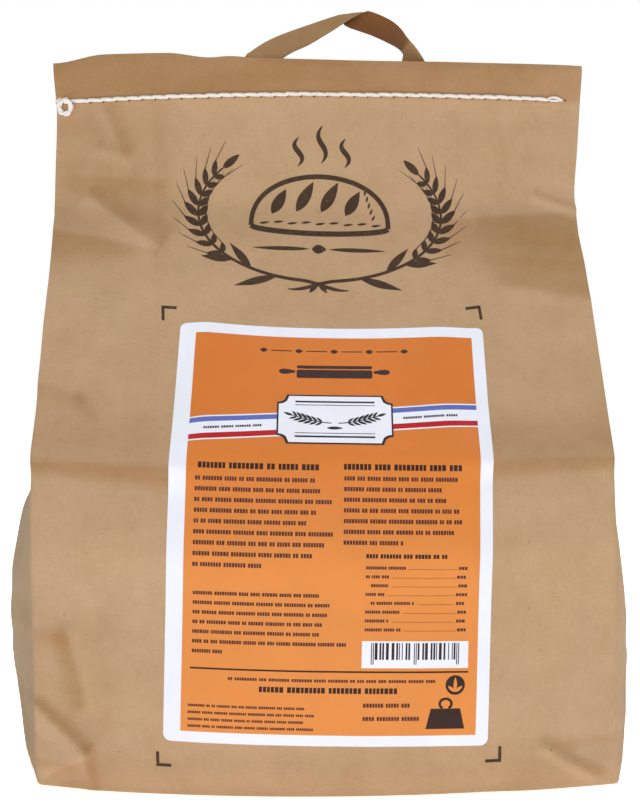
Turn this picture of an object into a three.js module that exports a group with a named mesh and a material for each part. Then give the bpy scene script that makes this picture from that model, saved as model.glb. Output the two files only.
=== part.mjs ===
// A filled kraft-paper bag of dry bread mix, standing on its folded bottom.
//
// The bag is a side-gusseted paper bag. Its lower part is full and bulges, its upper part leans back
// to a flat top that is folded over to the rear and closed with one row of thick chain stitch. A flat
// paper strap is sewn to the rear of the fold and rises over the top as a twisted carrying loop. An
// adhesive label lies on the front.
//
// Millimetres. X points right, Y to the rear, Z up. The origin is the middle of the flat bottom.

import * as THREE from 'three';

// ---------------------------------------------------------------- driving sizes

const PANEL_HALF = 124.5; // half the width of the front panel, crease to crease
const GUSSET_HALF = 70; // half the width of the paper in one side gusset
const BODY_TOP = 323.5; // height of the folded top edge
const STITCH_HEIGHT = 307.3;
const FOLD_HEM_BOTTOM = 295; // lower edge of the top fold, on the rear
const FOLD_HEM_STEP = 0.7; // how far the top fold stands out on the rear
const BASE_ROUND = 4; // rounding between the walls and the bottom
const TOP_ROUND = 1.3; // rounding of the folded top edge
const CORNER_LIFT = 2.4; // how far the bottom corners curl up
const LEAN = 3; // how far the top leans to the left
const BASE_OFFSET = 2; // how far right of the origin the base is centred

const LABEL_HALF_WIDTH = 67.8;
const LABEL_BOTTOM = 22.7;
const LABEL_TOP = 200;
const LABEL_CORNER = 4.5;
const LABEL_GAP = 0.35;
const LABEL_THICKNESS = 0.35;
const LABEL_OFFSET = 1.6; // how far right of the panel's middle line the label is stuck
const LABEL_SLANT = 0.036; // sideways run of its long edges against that line
const LABEL_TILT = 0.018; // fall of its short edges to the right

const THREAD_RADIUS = 0.75;
const STITCH_PITCH = 6.2;
const STITCH_START = -113;
const STITCH_END = 115.5;
const CURL_X = -119.5; // middle of the ring in which the thread curls at its left end
const CURL_RADIUS = 3.1;
const CURL_DROP = 2.6; // how far the ring's middle lies below the stitches
const CURL_LIFT = 1.9; // how far the ring's end lies over its start
const SURFACE_GAP = 0.35;

const STRAP_WIDTH = 15;
const STRAP_THICKNESS = 0.8;
const STRAP_GAP = 0.5;
const STRAP_FEET = [-35.4, 47]; // where the strap's two ends cross the seam

// ---------------------------------------------------------------- small functions

const clamp = (v, low, high) => Math.min(high, Math.max(low, v));

const mix = (a, b, t) => a + (b - a) * t;

function smoothstep(from, to, v) {
  const t = clamp((v - from) / (to - from), 0, 1);
  return t * t * (3 - 2 * t);
}

// Value at v on the straight stretches between [v, value] pairs.
function stretches(v, pairs) {
  if (v <= pairs[0][0]) return pairs[0][1];
  for (let i = 1; i < pairs.length; i++) {
    if (v <= pairs[i][0]) {
      const t = (v - pairs[i - 1][0]) / (pairs[i][0] - pairs[i - 1][0]);
      return mix(pairs[i - 1][1], pairs[i][1], t);
    }
  }
  return pairs[pairs.length - 1][1];
}

// The same with its corners rounded over 8 mm.
function profile(v, pairs) {
  const reach = 4;
  return (stretches(v - reach, pairs) + 2 * stretches(v, pairs) + stretches(v + reach, pairs)) / 4;
}

// count values after `from`, evenly spaced, the last one `to`.
function stepsTo(from, to, count) {
  return Array.from({ length: count }, (_, i) => mix(from, to, (i + 1) / count));
}

// ---------------------------------------------------------------- the bag's form by height

// Depth of the vertical creases: [height, Y].
const FRONT_CREASE = [
  [0, -61], [8, -64.5], [80, -67], [104, -69.6], [142, -66.4],
  [257, 0], [300, -1], [323.5, -9],
];
const REAR_CREASE = [
  [0, 61], [8, 64.5], [80, 67], [104, 69.6], [142, 68.4],
  [257, 3.6], [300, 2], [323.5, -6],
];

// How far the middle of each wall stands out past the line between its creases: [height, bulge].
const FRONT_BULGE = [
  [0, 18], [40, 20], [100, 18.5], [136, 14.5], [166, 9.5],
  [200, 6], [230, 8], [257, 11], [324, 12],
];
const REAR_BULGE = [
  [0, 12], [40, 14], [100, 13], [136, 9], [166, 4],
  [200, -1], [230, -6], [257, -10], [324, -11.4],
];
const LEFT_BULGE = [[0, 3], [10, 7], [45, 15], [80, 20.5], [106, 14], [130, 0]];
const RIGHT_BULGE = [[0, 3], [10, 8], [40, 15], [60, 17.5], [96, 12], [124, 0]];

const centreX = (z) => BASE_OFFSET - (LEAN * z) / BODY_TOP;

const acrossPanel = (x, z) => clamp((x - centreX(z)) / PANEL_HALF, -1, 1);

const panelArch = (x, z) => 1 - acrossPanel(x, z) ** 2;

// Creases pressed into the paper: a ridge from one point [x, z] to another that stands `height` out
// and runs out over `above` and `below` mm on its two sides, and over `fade` mm past its ends.
const FRONT_CREASES = [
  { from: [-128, 140], to: [-84, 138.5], height: 2.4, above: 24, below: 13, fade: 24 },
  { from: [82, 141], to: [128, 140.5], height: 2.4, above: 24, below: 13, fade: 20 },
  { from: [-128, 247], to: [-86, 243], height: 2.6, above: 20, below: 24, fade: 12 },
  { from: [70, 254], to: [128, 257], height: 2.6, above: 14, below: 40, fade: 26 },
  { from: [-128, 175], to: [-104, 168], height: 1.8, above: 18, below: 16, fade: 10 },
  { from: [-106, 66], to: [-102, 40], height: -1.8, above: 12, below: 12, fade: 14 },
  { from: [-122, 34], to: [-100, 10], height: -2, above: 12, below: 12, fade: 10 },
];
const REAR_CREASES = [
  { from: [-128, 141], to: [128, 140], height: 2.2, above: 24, below: 13, fade: 10 },
  { from: [-60, 262], to: [-128, 240], height: 2.4, above: 22, below: 26, fade: 20 },
  { from: [64, 250], to: [128, 262], height: 2.6, above: 18, below: 34, fade: 20 },
];

function creaseRelief(creases, x, z) {
  let relief = 0;
  for (const crease of creases) {
    const runX = crease.to[0] - crease.from[0];
    const runZ = crease.to[1] - crease.from[1];
    const length = Math.hypot(runX, runZ);
    const dx = x - crease.from[0];
    const dz = z - crease.from[1];
    const along = (dx * runX + dz * runZ) / length;
    const beyond = Math.max(0, -along, along - length);
    const side = ((dz * runX - dx * runZ) / length) * Math.sign(runX || 1);
    const reach = side > 0 ? crease.above : crease.below;
    const falloff = Math.max(0, 1 - Math.abs(side) / reach) ** 2;
    relief += crease.height * falloff * (1 - smoothstep(0, crease.fade, beyond));
  }
  return relief;
}

// The seam draws the walls together a little along the stitches.
const seamPinch = (z) => 0.6 * Math.max(0, 1 - Math.abs(z - STITCH_HEIGHT) / 6) ** 2;

function frontY(x, z) {
  const bulge = profile(z, FRONT_BULGE) * panelArch(x, z);
  return profile(z, FRONT_CREASE) - bulge - creaseRelief(FRONT_CREASES, x, z) + seamPinch(z);
}

function rearY(x, z) {
  const bulge = profile(z, REAR_BULGE) * panelArch(x, z);
  const hem = z > FOLD_HEM_BOTTOM ? FOLD_HEM_STEP : 0;
  return profile(z, REAR_CREASE) + bulge + creaseRelief(REAR_CREASES, x, z) + hem;
}

// The top edge and the seam aren't level: heights added to a point whose level height is z.
function levelError(x, z) {
  const topStep = 2.6 * smoothstep(-52, -72, x) * smoothstep(-122, -104, x);
  const topError = 1.2 * smoothstep(20, -60, x) + topStep;
  const seamError = 1.6 * (1 - (x / PANEL_HALF) ** 2) - 1.4 * smoothstep(10, -120, x);
  if (z < STITCH_HEIGHT) return seamError * smoothstep(262, STITCH_HEIGHT, z);
  return mix(seamError, topError, (z - STITCH_HEIGHT) / (BODY_TOP - STITCH_HEIGHT));
}

// A side gusset is pushed out by the filling low down. Above the filling it folds inwards to a V as
// deep as its paper allows, and the V closes where the two walls meet.
function gussetFoldDepth(z) {
  const halfOpening = (profile(z, REAR_CREASE) - profile(z, FRONT_CREASE)) / 2;
  const paperDepth = Math.sqrt(Math.max(0, GUSSET_HALF ** 2 - halfOpening ** 2));
  return 0.9 * paperDepth * smoothstep(118, 165, z) * smoothstep(2, 10, halfOpening);
}

// Point of a gusset: side -1 left or 1 right, across from -1 at the front crease to 1 at the rear one.
function gussetPoint(side, across, z) {
  const bulge = profile(z, side < 0 ? LEFT_BULGE : RIGHT_BULGE) * (1 - across ** 2);
  const fold = gussetFoldDepth(z) * (1 - Math.abs(across));
  const x = centreX(z) + side * (PANEL_HALF + bulge - fold);
  const bow = ((profile(z, REAR_BULGE) - profile(z, FRONT_BULGE)) / 2) * panelArch(x, z);
  const edgeX = centreX(z) + side * PANEL_HALF;
  return [x, mix(frontY(edgeX, z), rearY(edgeX, z), (across + 1) / 2) + bow];
}

// ---------------------------------------------------------------- closed meshes from rings

class Surface {
  constructor() {
    this.vertices = [];
    this.faces = [];
  }

  point(x, y, z) {
    this.vertices.push([x, y, z]);
    return this.vertices.length - 1;
  }

  // Four corners, counter-clockwise from outside.
  quad(a, b, c, d) {
    this.faces.push([a, b, c], [a, c, d]);
  }

  geometry() {
    const geometry = new THREE.BufferGeometry();
    geometry.setAttribute('position', new THREE.Float32BufferAttribute(this.vertices.flat(), 3));
    geometry.setIndex(this.faces.flat());
    geometry.computeVertexNormals();
    return geometry;
  }
}

// A solid skinned over rings of equal length, each counter-clockwise seen from the next one, with a
// fan over the first and last ring.
function skinRings(rings) {
  const surface = new Surface();
  const ids = rings.map((ring) => ring.map((p) => surface.point(...p)));
  const count = rings[0].length;
  for (let j = 1; j < ids.length; j++) {
    for (let k = 0; k < count; k++) {
      const next = (k + 1) % count;
      surface.quad(ids[j - 1][k], ids[j - 1][next], ids[j][next], ids[j][k]);
    }
  }
  const last = ids[ids.length - 1];
  for (let k = 1; k < count - 1; k++) {
    surface.faces.push([ids[0][0], ids[0][k + 1], ids[0][k]], [last[0], last[k], last[k + 1]]);
  }
  return surface.geometry();
}

// ---------------------------------------------------------------- paper bag

const GUSSET_STEPS = 5; // from a gusset's middle to its crease
const LABEL_EDGE = LABEL_HALF_WIDTH / PANEL_HALF;
const LABEL_CORNER_STEP = LABEL_CORNER / PANEL_HALF;

// Columns across a wall from crease to crease, -1 to 1, with two on each long edge of the label.
const halfColumns = [
  ...stepsTo(0, LABEL_EDGE - LABEL_CORNER_STEP, 5),
  LABEL_EDGE,
  ...stepsTo(LABEL_EDGE, 1, 5),
];
const PANEL_COLUMNS = [...halfColumns.map((s) => -s).reverse(), 0, ...halfColumns];

// Level heights of the rows, with rows on the label's short edges, on the crease round the filled
// part, on the lower edge of the top fold and on the stitches.
const ROW_HEIGHTS = [
  0,
  ...[30, 60, 90].map((degrees) => BASE_ROUND * (1 - Math.cos((degrees * Math.PI) / 180))),
  12,
  ...[LABEL_BOTTOM, LABEL_BOTTOM + LABEL_CORNER],
  ...stepsTo(LABEL_BOTTOM + LABEL_CORNER, 127, 7),
  134,
  140,
  ...stepsTo(140, LABEL_TOP - LABEL_CORNER, 5),
  LABEL_TOP,
  ...stepsTo(LABEL_TOP, 256, 6),
  264,
  280,
  FOLD_HEM_BOTTOM - 0.4,
  FOLD_HEM_BOTTOM + 0.4,
  302,
  STITCH_HEIGHT,
  312,
  BODY_TOP - TOP_ROUND,
  BODY_TOP - TOP_ROUND / 3,
  BODY_TOP,
];

// The label's rows and columns tilt with it, so that its edges lie on them.
function labelShift(s, z) {
  const middle = (LABEL_BOTTOM + LABEL_TOP) / 2;
  const half = (LABEL_TOP - LABEL_BOTTOM) / 2;
  const slant = LABEL_SLANT * clamp(z - middle, -half, half) * smoothstep(260, LABEL_TOP, z);
  const x = (LABEL_OFFSET * smoothstep(250, LABEL_TOP, z) + slant) * (1 - s ** 4);
  const tiltZone = smoothstep(4, LABEL_BOTTOM, z) * smoothstep(LABEL_TOP + 28, LABEL_TOP, z);
  return { x, z: -LABEL_TILT * PANEL_HALF * s * tiltZone };
}

// How much a ring is drawn in near the bottom edge.
function baseInset(z) {
  if (z >= BASE_ROUND) return 0;
  return BASE_ROUND - Math.sqrt(BASE_ROUND ** 2 - (BASE_ROUND - z) ** 2);
}

// Share of its thickness by which a ring is drawn together near the top edge.
const topRounding = (z) => 0.5 * clamp((z - BODY_TOP + TOP_ROUND) / TOP_ROUND, 0, 1) ** 2;

function cornerLift(x, y) {
  const towardsSide = smoothstep(0.72, 1, Math.abs(x) / PANEL_HALF);
  const towardsWall = smoothstep(0.55, 1, Math.abs(y) / GUSSET_HALF);
  return CORNER_LIFT * towardsSide * towardsWall;
}

function bagPoint(wall, s, z) {
  const shift = labelShift(s, z);
  const x = centreX(z) + PANEL_HALF * s + shift.x;
  const height = z + shift.z;
  return [x, wall < 0 ? frontY(x, height) : rearY(x, height), height];
}

// Half a ring, from the left gusset's middle over the front (wall -1) or rear (wall 1) to the right
// gusset's middle.
function halfRing(wall, z) {
  const points = [];
  for (let i = 0; i < GUSSET_STEPS; i++) {
    points.push([...gussetPoint(-1, (wall * i) / GUSSET_STEPS, z), z]);
  }
  PANEL_COLUMNS.forEach((s) => points.push(bagPoint(wall, s, z)));
  for (let i = GUSSET_STEPS - 1; i >= 0; i--) {
    points.push([...gussetPoint(1, (wall * i) / GUSSET_STEPS, z), z]);
  }
  const inset = baseInset(z);
  const rounding = topRounding(z);
  const middleY = (profile(z, FRONT_CREASE) + profile(z, REAR_CREASE)) / 2;
  const middleBow = (profile(z, REAR_BULGE) - profile(z, FRONT_BULGE)) / 2;
  return points.map(([x, y, height]) => {
    const length = Math.hypot(x / PANEL_HALF, y / GUSSET_HALF);
    const drawnX = x - (inset * x) / PANEL_HALF / length;
    const bowed = middleY + middleBow * panelArch(x, z);
    const drawnY = mix(y - (inset * y) / GUSSET_HALF / length, bowed, rounding);
    const lift = cornerLift(x, y) * smoothstep(30, 0, z) + levelError(x, z);
    return [drawnX, drawnY, height + lift];
  });
}

const frontRows = ROW_HEIGHTS.map((z) => halfRing(-1, z));
const rearRows = ROW_HEIGHTS.map((z) => halfRing(1, z));

// The two half rings of a height share their end points.
function bagGeometry() {
  const surface = new Surface();
  const last = frontRows[0].length - 1;
  const front = frontRows.map((row) => row.map((p) => surface.point(...p)));
  const rear = rearRows.map((row, j) =>
    row.map((p, k) => (k === 0 || k === last ? front[j][k] : surface.point(...p))));
  for (let j = 1; j < front.length; j++) {
    for (let k = 0; k < last; k++) {
      surface.quad(front[j - 1][k], front[j - 1][k + 1], front[j][k + 1], front[j][k]);
      surface.quad(rear[j - 1][k + 1], rear[j - 1][k], rear[j][k], rear[j][k + 1]);
    }
  }
  closeBottom(surface, front[0], rear[0]);
  closeTop(surface, front[front.length - 1], rear[rear.length - 1]);
  return surface.geometry();
}

// The bottom is a grid whose lines run from the left gusset to the right one, the first of them along
// the front wall and the last along the rear wall.
function closeBottom(surface, front, rear) {
  const last = front.length - 1;
  const lines = [];
  for (let i = -GUSSET_STEPS; i <= GUSSET_STEPS; i++) {
    const wall = i < 0 ? front : rear;
    const along = wall.slice(GUSSET_STEPS + 1, last - GUSSET_STEPS).map((id, m) => {
      if (Math.abs(i) === GUSSET_STEPS) return id;
      const start = surface.vertices[front[GUSSET_STEPS + 1 + m]];
      const end = surface.vertices[rear[GUSSET_STEPS + 1 + m]];
      const t = (i + GUSSET_STEPS) / (2 * GUSSET_STEPS);
      const [x, y] = [mix(start[0], end[0], t), mix(start[1], end[1], t)];
      return surface.point(x, y, cornerLift(x, y));
    });
    lines.push([wall[Math.abs(i)], ...along, wall[last - Math.abs(i)]]);
  }
  for (let i = 1; i < lines.length; i++) {
    for (let m = 1; m < lines[i].length; m++) {
      surface.quad(lines[i - 1][m - 1], lines[i][m - 1], lines[i][m], lines[i - 1][m]);
    }
  }
}

// The top is one strip between the walls, with a fan over each gusset's points at its ends.
function closeTop(surface, front, rear) {
  const last = front.length - 1;
  const first = GUSSET_STEPS + 1;
  for (let k = first; k < last - first; k++) {
    surface.quad(front[k], front[k + 1], rear[k + 1], rear[k]);
  }
  const leftEnd = [...rear.slice(1, first + 1).reverse(), ...front.slice(0, first)];
  const rightEnd = [...front.slice(last - first + 1), ...rear.slice(last - first, last).reverse()];
  for (const [apex, end] of [[front[first], leftEnd], [front[last - first], rightEnd]]) {
    for (let i = 1; i < end.length; i++) surface.faces.push([apex, end[i - 1], end[i]]);
  }
}

// ---------------------------------------------------------------- label

// Where the label's surfaces cross the line through point k of front row j, `distance` off the paper.
function offPaper(j, k, distance) {
  const slope = (after, before, axis) => (after[1] - before[1]) / (after[axis] - before[axis]);
  const rise = slope(frontRows[j + 1][k], frontRows[j - 1][k], 2);
  const run = slope(frontRows[j][k + 1], frontRows[j][k - 1], 0);
  const normal = new THREE.Vector3(run, -1, rise).normalize();
  return new THREE.Vector3(...frontRows[j][k]).addScaledVector(normal, distance).toArray();
}

// The triangles of one cell, without the corner of the label that `has` doesn't hold. The walls'
// cells are split from lower left to upper right, and so is a whole cell here.
function cellTriangles(j, k, has) {
  const [a, b, c, d] = [[j, k], [j, k + 1], [j + 1, k + 1], [j + 1, k]].map(String);
  const whole = [[a, b, c], [a, c, d]];
  const kept = [...whole, [a, b, d], [b, c, d]].filter((triangle) => triangle.every(has));
  return kept.length > 2 ? whole : kept;
}

// The label is a sheet over the cells of the front wall between its edges, with its corners cut.
function labelGeometry() {
  const firstColumn = GUSSET_STEPS + PANEL_COLUMNS.indexOf(-LABEL_EDGE);
  const lastColumn = GUSSET_STEPS + PANEL_COLUMNS.indexOf(LABEL_EDGE);
  const firstRow = ROW_HEIGHTS.indexOf(LABEL_BOTTOM);
  const lastRow = ROW_HEIGHTS.indexOf(LABEL_TOP);
  const surface = new Surface();
  const inner = new Map();
  const outer = new Map();
  for (let j = firstRow; j <= lastRow; j++) {
    for (let k = firstColumn; k <= lastColumn; k++) {
      if ((j === firstRow || j === lastRow) && (k === firstColumn || k === lastColumn)) continue;
      inner.set(String([j, k]), surface.point(...offPaper(j, k, LABEL_GAP)));
      outer.set(String([j, k]), surface.point(...offPaper(j, k, LABEL_GAP + LABEL_THICKNESS)));
    }
  }
  const edges = new Map();
  for (let j = firstRow; j < lastRow; j++) {
    for (let k = firstColumn; k < lastColumn; k++) {
      for (const triangle of cellTriangles(j, k, (id) => outer.has(id))) {
        surface.faces.push(triangle.map((id) => outer.get(id)));
        surface.faces.push(triangle.map((id) => inner.get(id)).reverse());
        triangle.forEach((from, n) => {
          const to = triangle[(n + 1) % 3];
          if (!edges.delete(`${to}>${from}`)) edges.set(`${from}>${to}`, [from, to]);
        });
      }
    }
  }
  for (const [from, to] of edges.values()) {
    surface.quad(inner.get(from), inner.get(to), outer.get(to), outer.get(from));
  }
  return surface.geometry();
}

// ---------------------------------------------------------------- seam thread

const seamZ = (x) => STITCH_HEIGHT + levelError(x, STITCH_HEIGHT);

// The rear run of the thread passes over the strap's two ends.
function rearThreadLift(x) {
  const over = STRAP_FEET.map((foot) => 1 - smoothstep(11, 17, Math.abs(x - foot)));
  return Math.max(...over) * (STRAP_THICKNESS + STRAP_GAP + 0.1);
}

// Centre line of the thread: along the front from right to left, a curl at the left end, round the
// edge and back along the rear.
function threadLine() {
  const clear = SURFACE_GAP + THREAD_RADIUS;
  const points = [];
  const frontPoint = (x, z, out) => [x, frontY(x, STITCH_HEIGHT) - clear - out, z];
  for (let x = STITCH_END; x > STITCH_START; x -= STITCH_PITCH / 3) {
    points.push(frontPoint(x, seamZ(x), 0));
  }
  const curlZ = seamZ(CURL_X) - CURL_DROP;
  for (let degrees = 70; degrees <= 390; degrees += 32) {
    const angle = (degrees * Math.PI) / 180;
    const x = CURL_X + CURL_RADIUS * Math.cos(angle);
    const z = curlZ + CURL_RADIUS * Math.sin(angle);
    points.push(frontPoint(x, z, CURL_LIFT * smoothstep(150, 360, degrees)));
  }
  points.push(frontPoint(CURL_X - 1, seamZ(CURL_X) + 1.6, CURL_LIFT));
  const edgeX = centreX(STITCH_HEIGHT) - PANEL_HALF;
  points.push([edgeX - 0.9, frontY(edgeX, STITCH_HEIGHT) - 0.9, seamZ(edgeX) + 1.2]);
  points.push([edgeX - 1.5, rearY(edgeX, STITCH_HEIGHT) + 0.4, seamZ(edgeX) + 0.4]);
  for (let x = edgeX + 3; x < STITCH_END; x += STITCH_PITCH) {
    points.push([x, rearY(x, STITCH_HEIGHT) + clear + rearThreadLift(x), seamZ(x)]);
  }
  return points.map((p) => new THREE.Vector3(...p));
}

// A tube of six sides along points, thick in the middle of each stitch and thin at its ends.
function threadGeometry() {
  const line = threadLine();
  const sides = 6;
  const up = new THREE.Vector3(0, 0, 1);
  const rearwards = new THREE.Vector3(0, 1, 0);
  const rings = line.map((centre, i) => {
    const before = line[Math.max(0, i - 1)];
    const after = line[Math.min(line.length - 1, i + 1)];
    const along = after.clone().sub(before).normalize();
    const aside = Math.abs(along.z) > 0.8 ? rearwards : up;
    const a = new THREE.Vector3().crossVectors(along, aside).normalize();
    const b = new THREE.Vector3().crossVectors(along, a);
    const radius = THREAD_RADIUS * (i % 3 === 0 ? 0.72 : 1);
    return Array.from({ length: sides }, (_, k) => {
      const angle = (2 * Math.PI * k) / sides;
      return centre.clone()
        .addScaledVector(a, radius * Math.cos(angle))
        .addScaledVector(b, radius * Math.sin(angle))
        .toArray();
    });
  });
  return skinRings(rings);
}

// ---------------------------------------------------------------- carry strap

// Middle of the strap, direction across it and its lengthwise crease: where across it the crease
// lies, -1 to 1, and how far it stands out. Both ends lie flat on the rear of the top fold. The left
// leg faces the front and up, the crown turns over by a half twist, and the right leg is creased.
function strapStations() {
  // On the rear of the top fold, leaning by `slant` and turned away from it by `turn` radians.
  const foot = (x, z, slant, turn) => {
    const rise = Math.tan(slant);
    const slope = rearY(x - 1, z + rise) - rearY(x, z);
    const y = rearY(x, z) + STRAP_GAP + STRAP_THICKNESS / 2 + (Math.sin(turn) * STRAP_WIDTH) / 2;
    const across = [-Math.cos(turn), slope + Math.sin(turn), rise];
    return { at: [x, y, z + levelError(x, z)], across, crease: [0, 0] };
  };
  return [
    foot(-40, 297.5, 0.45, 0),
    foot(-36.8, 305, 0.45, 0),
    foot(-32.5, 314, 0.45, 0),
    foot(-28.4, 322, 0.4, 0.02),
    { at: [-25.2, -13.4, 327], across: [-16, 1, 4], crease: [0, 0] },
    { at: [-18.8, -11, 331.8], across: [-13.6, 3.6, 5.2], crease: [0, 0] },
    { at: [-9.7, -9, 336.5], across: [-9, 9, 9], crease: [0, 0] },
    { at: [-2.1, -7.5, 340.3], across: [-5.2, 11, 9.4], crease: [0, 0.2] },
    { at: [5, -6.5, 343.8], across: [-2.8, 12, 8.8], crease: [0, 0.4] },
    { at: [11, -6, 346.4], across: [-1.4, 13, 8], crease: [0, 0.6] },
    { at: [14.6, -5.6, 347.5], across: [-2.2, 13.4, 5.6], crease: [0, 1] },
    { at: [17.4, -5.4, 347.8], across: [-4.6, 14, 1.6], crease: [0, 1.5] },
    { at: [18.8, -6, 346.5], across: [-9.4, 11, -3.6], crease: [0, 0.6] },
    { at: [21.4, -6.2, 345.5], across: [-9.4, 11, -4.6], crease: [0, 0] },
    { at: [24.6, -6.6, 343.9], across: [-8.7, 11, -4.2], crease: [0, -0.3] },
    { at: [29, -7.4, 341.8], across: [-7.2, 12, -3.9], crease: [0, -0.4] },
    { at: [35, -8.2, 338.2], across: [-4, 13.6, -4], crease: [-0.5, -0.6] },
    { at: [38.8, -8.6, 335], across: [-2.6, 14, -2.6], crease: [-0.5, -1.2] },
    { at: [41.4, -8.8, 331.3], across: [-3, 14, -1], crease: [0, -1.6] },
    { at: [43.2, -8.6, 327.2], across: [-7, 12.6, 0.6], crease: [0.5, -1] },
    foot(44.4, 322, -0.2, 0.86),
    foot(45.5, 316.5, -0.16, 0.44),
    foot(46.3, 311.5, -0.1, 0.1),
    foot(47, 304.5, -0.1, 0),
    foot(47.8, 297.5, -0.1, 0),
  ];
}

function strapGeometry() {
  const stations = strapStations();
  const places = stations.map((s) => new THREE.Vector3(...s.at));
  const middle = new THREE.CatmullRomCurve3(places, false, 'centripetal');
  const steps = (stations.length - 1) * 2;
  const columns = [-1, -0.5, 0, 0.5, 1];
  const rings = [];
  for (let i = 0; i <= steps; i++) {
    const place = i / steps;
    const j = Math.min(Math.floor(i / 2), stations.length - 2);
    const t = i / 2 - j;
    const across = new THREE.Vector3(...stations[j].across).normalize()
      .lerp(new THREE.Vector3(...stations[j + 1].across).normalize(), t)
      .normalize();
    const creaseAt = mix(stations[j].crease[0], stations[j + 1].crease[0], t);
    const creaseHeight = mix(stations[j].crease[1], stations[j + 1].crease[1], t);
    const creased = (s) => creaseHeight * (1 - Math.abs(s - creaseAt) / (1 + Math.abs(creaseAt)));
    const along = middle.getTangent(place);
    const facing = new THREE.Vector3().crossVectors(along, across).normalize();
    const centre = middle.getPoint(place);
    const edge = (s, side) => centre.clone()
      .addScaledVector(across, (s * STRAP_WIDTH) / 2)
      .addScaledVector(facing, (side * STRAP_THICKNESS) / 2 + creased(s))
      .toArray();
    rings.push([...columns.map((s) => edge(s, -1)), ...columns.map((s) => edge(-s, 1))]);
  }
  return skinRings(rings);
}

// ---------------------------------------------------------------- scene graph

function material(color, roughness) {
  return new THREE.MeshStandardMaterial({ color, roughness, metalness: 0 });
}

const kraftPaper = material(0xbe9d7e, 0.85);
const strapPaper = material(0x97764f, 0.8);
const cottonThread = material(0xf2f0ec, 0.9);
const labelPaper = material(0xe08a48, 0.45);

function piece(name, geometry, finish) {
  const mesh = new THREE.Mesh(geometry, finish);
  mesh.name = name;
  return mesh;
}

const bag = new THREE.Group();
bag.add(piece('paper_bag', bagGeometry(), kraftPaper));
bag.add(piece('label', labelGeometry(), labelPaper));
bag.add(piece('seam_thread', threadGeometry(), cottonThread));
bag.add(piece('carry_strap', strapGeometry(), strapPaper));

export default bag;
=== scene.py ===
"""Looks of a filled kraft-paper bag of dry bread mix that stands upright: the gusseted bag with its
folded and stitched top, its twisted paper strap, its adhesive label and its print.

The forms are worked out in millimetres and made into meshes in metres. X points right, Y to the
rear and Z up.
"""

import math

import bpy
import numpy as np
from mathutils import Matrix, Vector


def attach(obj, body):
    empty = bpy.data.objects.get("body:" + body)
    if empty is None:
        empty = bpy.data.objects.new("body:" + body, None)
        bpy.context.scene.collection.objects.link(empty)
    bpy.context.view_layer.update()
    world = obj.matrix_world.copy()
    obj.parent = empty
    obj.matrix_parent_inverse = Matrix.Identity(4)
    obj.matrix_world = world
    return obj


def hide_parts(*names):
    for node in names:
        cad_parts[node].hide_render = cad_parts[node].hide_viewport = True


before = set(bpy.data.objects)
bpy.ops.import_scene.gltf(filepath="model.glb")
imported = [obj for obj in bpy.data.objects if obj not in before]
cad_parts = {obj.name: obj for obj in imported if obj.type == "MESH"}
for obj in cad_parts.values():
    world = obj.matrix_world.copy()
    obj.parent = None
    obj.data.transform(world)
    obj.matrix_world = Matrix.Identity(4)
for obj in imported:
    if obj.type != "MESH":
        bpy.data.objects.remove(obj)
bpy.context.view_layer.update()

MM = 0.001

# ---- camera

CAMERA_PLACE = (-0.016, -0.625, 0.165)
CAMERA_AIM = (0.0, 0.0, 0.165)
CAMERA_LENS = 58.57
SENSOR = 36.0


def stand(name, data, place, aim):
    """Puts a camera or a light in its place, turned towards a point."""
    holder = bpy.data.objects.new(name, data)
    bpy.context.scene.collection.objects.link(holder)
    holder.location = place
    holder.rotation_mode = "QUATERNION"
    holder.rotation_quaternion = (Vector(aim) - Vector(place)).to_track_quat("-Z", "Y")
    return holder


def make_camera():
    camera = bpy.data.cameras.new("camera")
    camera.lens = CAMERA_LENS
    camera.sensor_width = SENSOR
    camera.sensor_fit = "AUTO"
    bpy.context.scene.camera = stand("camera", camera, CAMERA_PLACE, CAMERA_AIM)


# ---- sizes in millimetres

PANEL_HALF = 124.5
GUSSET_HALF = 70
BODY_TOP = 323.5
STITCH_HEIGHT = 307.3
HEM_BOTTOM = 295
HEM_STEP = 0.7
OVERLAP_X = 31  # the glued lengthwise overlap of the paper, on the rear
OVERLAP_STEP = 0.45
BASE_ROUND = 1.4
CORNER_LIFT = 0.9
LEAN = 3
BASE_OFFSET = 2

LABEL_CENTRE = (1.9, 118.2)  # across the front wall and up along its paper
LABEL_TURN = math.radians(-1.2)
LABEL_SAG = 2.4  # how far the middle of its upper edge hangs
LABEL_EDGES = (-67.3, 68.3, -95.0, 95.8)  # left, right, lower and upper, from LABEL_CENTRE
LABEL_CORNER = 3.2
FIELD_EDGES = (-60.1, 62.9, -90.4, 90.3)
EMBLEM_CENTRE = (-0.3, 256)
EMBLEM_TURN = math.radians(-1.8)

# Distances off the wall. The label's print lies in layers over its field.
LABEL_LIFT = 0.06
LABEL_THICKNESS = 0.12
FIELD_LIFT = LABEL_LIFT + LABEL_THICKNESS + 0.07
PRINT_LIFT = FIELD_LIFT + 0.04
PRINT_THICKNESS = 0.02
LAYER_STEP = 0.03
INK_LIFT = 0.07
HOLE_LIFT = 0.05

STITCH_PITCH = 6.2
STITCH_START = -113
STITCH_END = 115.5

STRAP_WIDTH = 15
STRAP_THICKNESS = 0.8
STRAP_GAP = 0.5
STRAP_FEET = (-35.4, 47)


# ---- small functions


def ease(start, end, v):
    """0 at start, 1 at end and a soft change between them; start may be the larger."""
    t = np.clip((np.asarray(v, float) - start) / (end - start), 0, 1)
    return t * t * (3 - 2 * t)


def mix(a, b, t):
    return a + (b - a) * t


def join(*coordinates):
    """Points from arrays of their coordinates."""
    return np.stack(coordinates, axis=-1)


def unit(vectors):
    return vectors / np.linalg.norm(vectors, axis=-1, keepdims=True)


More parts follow.
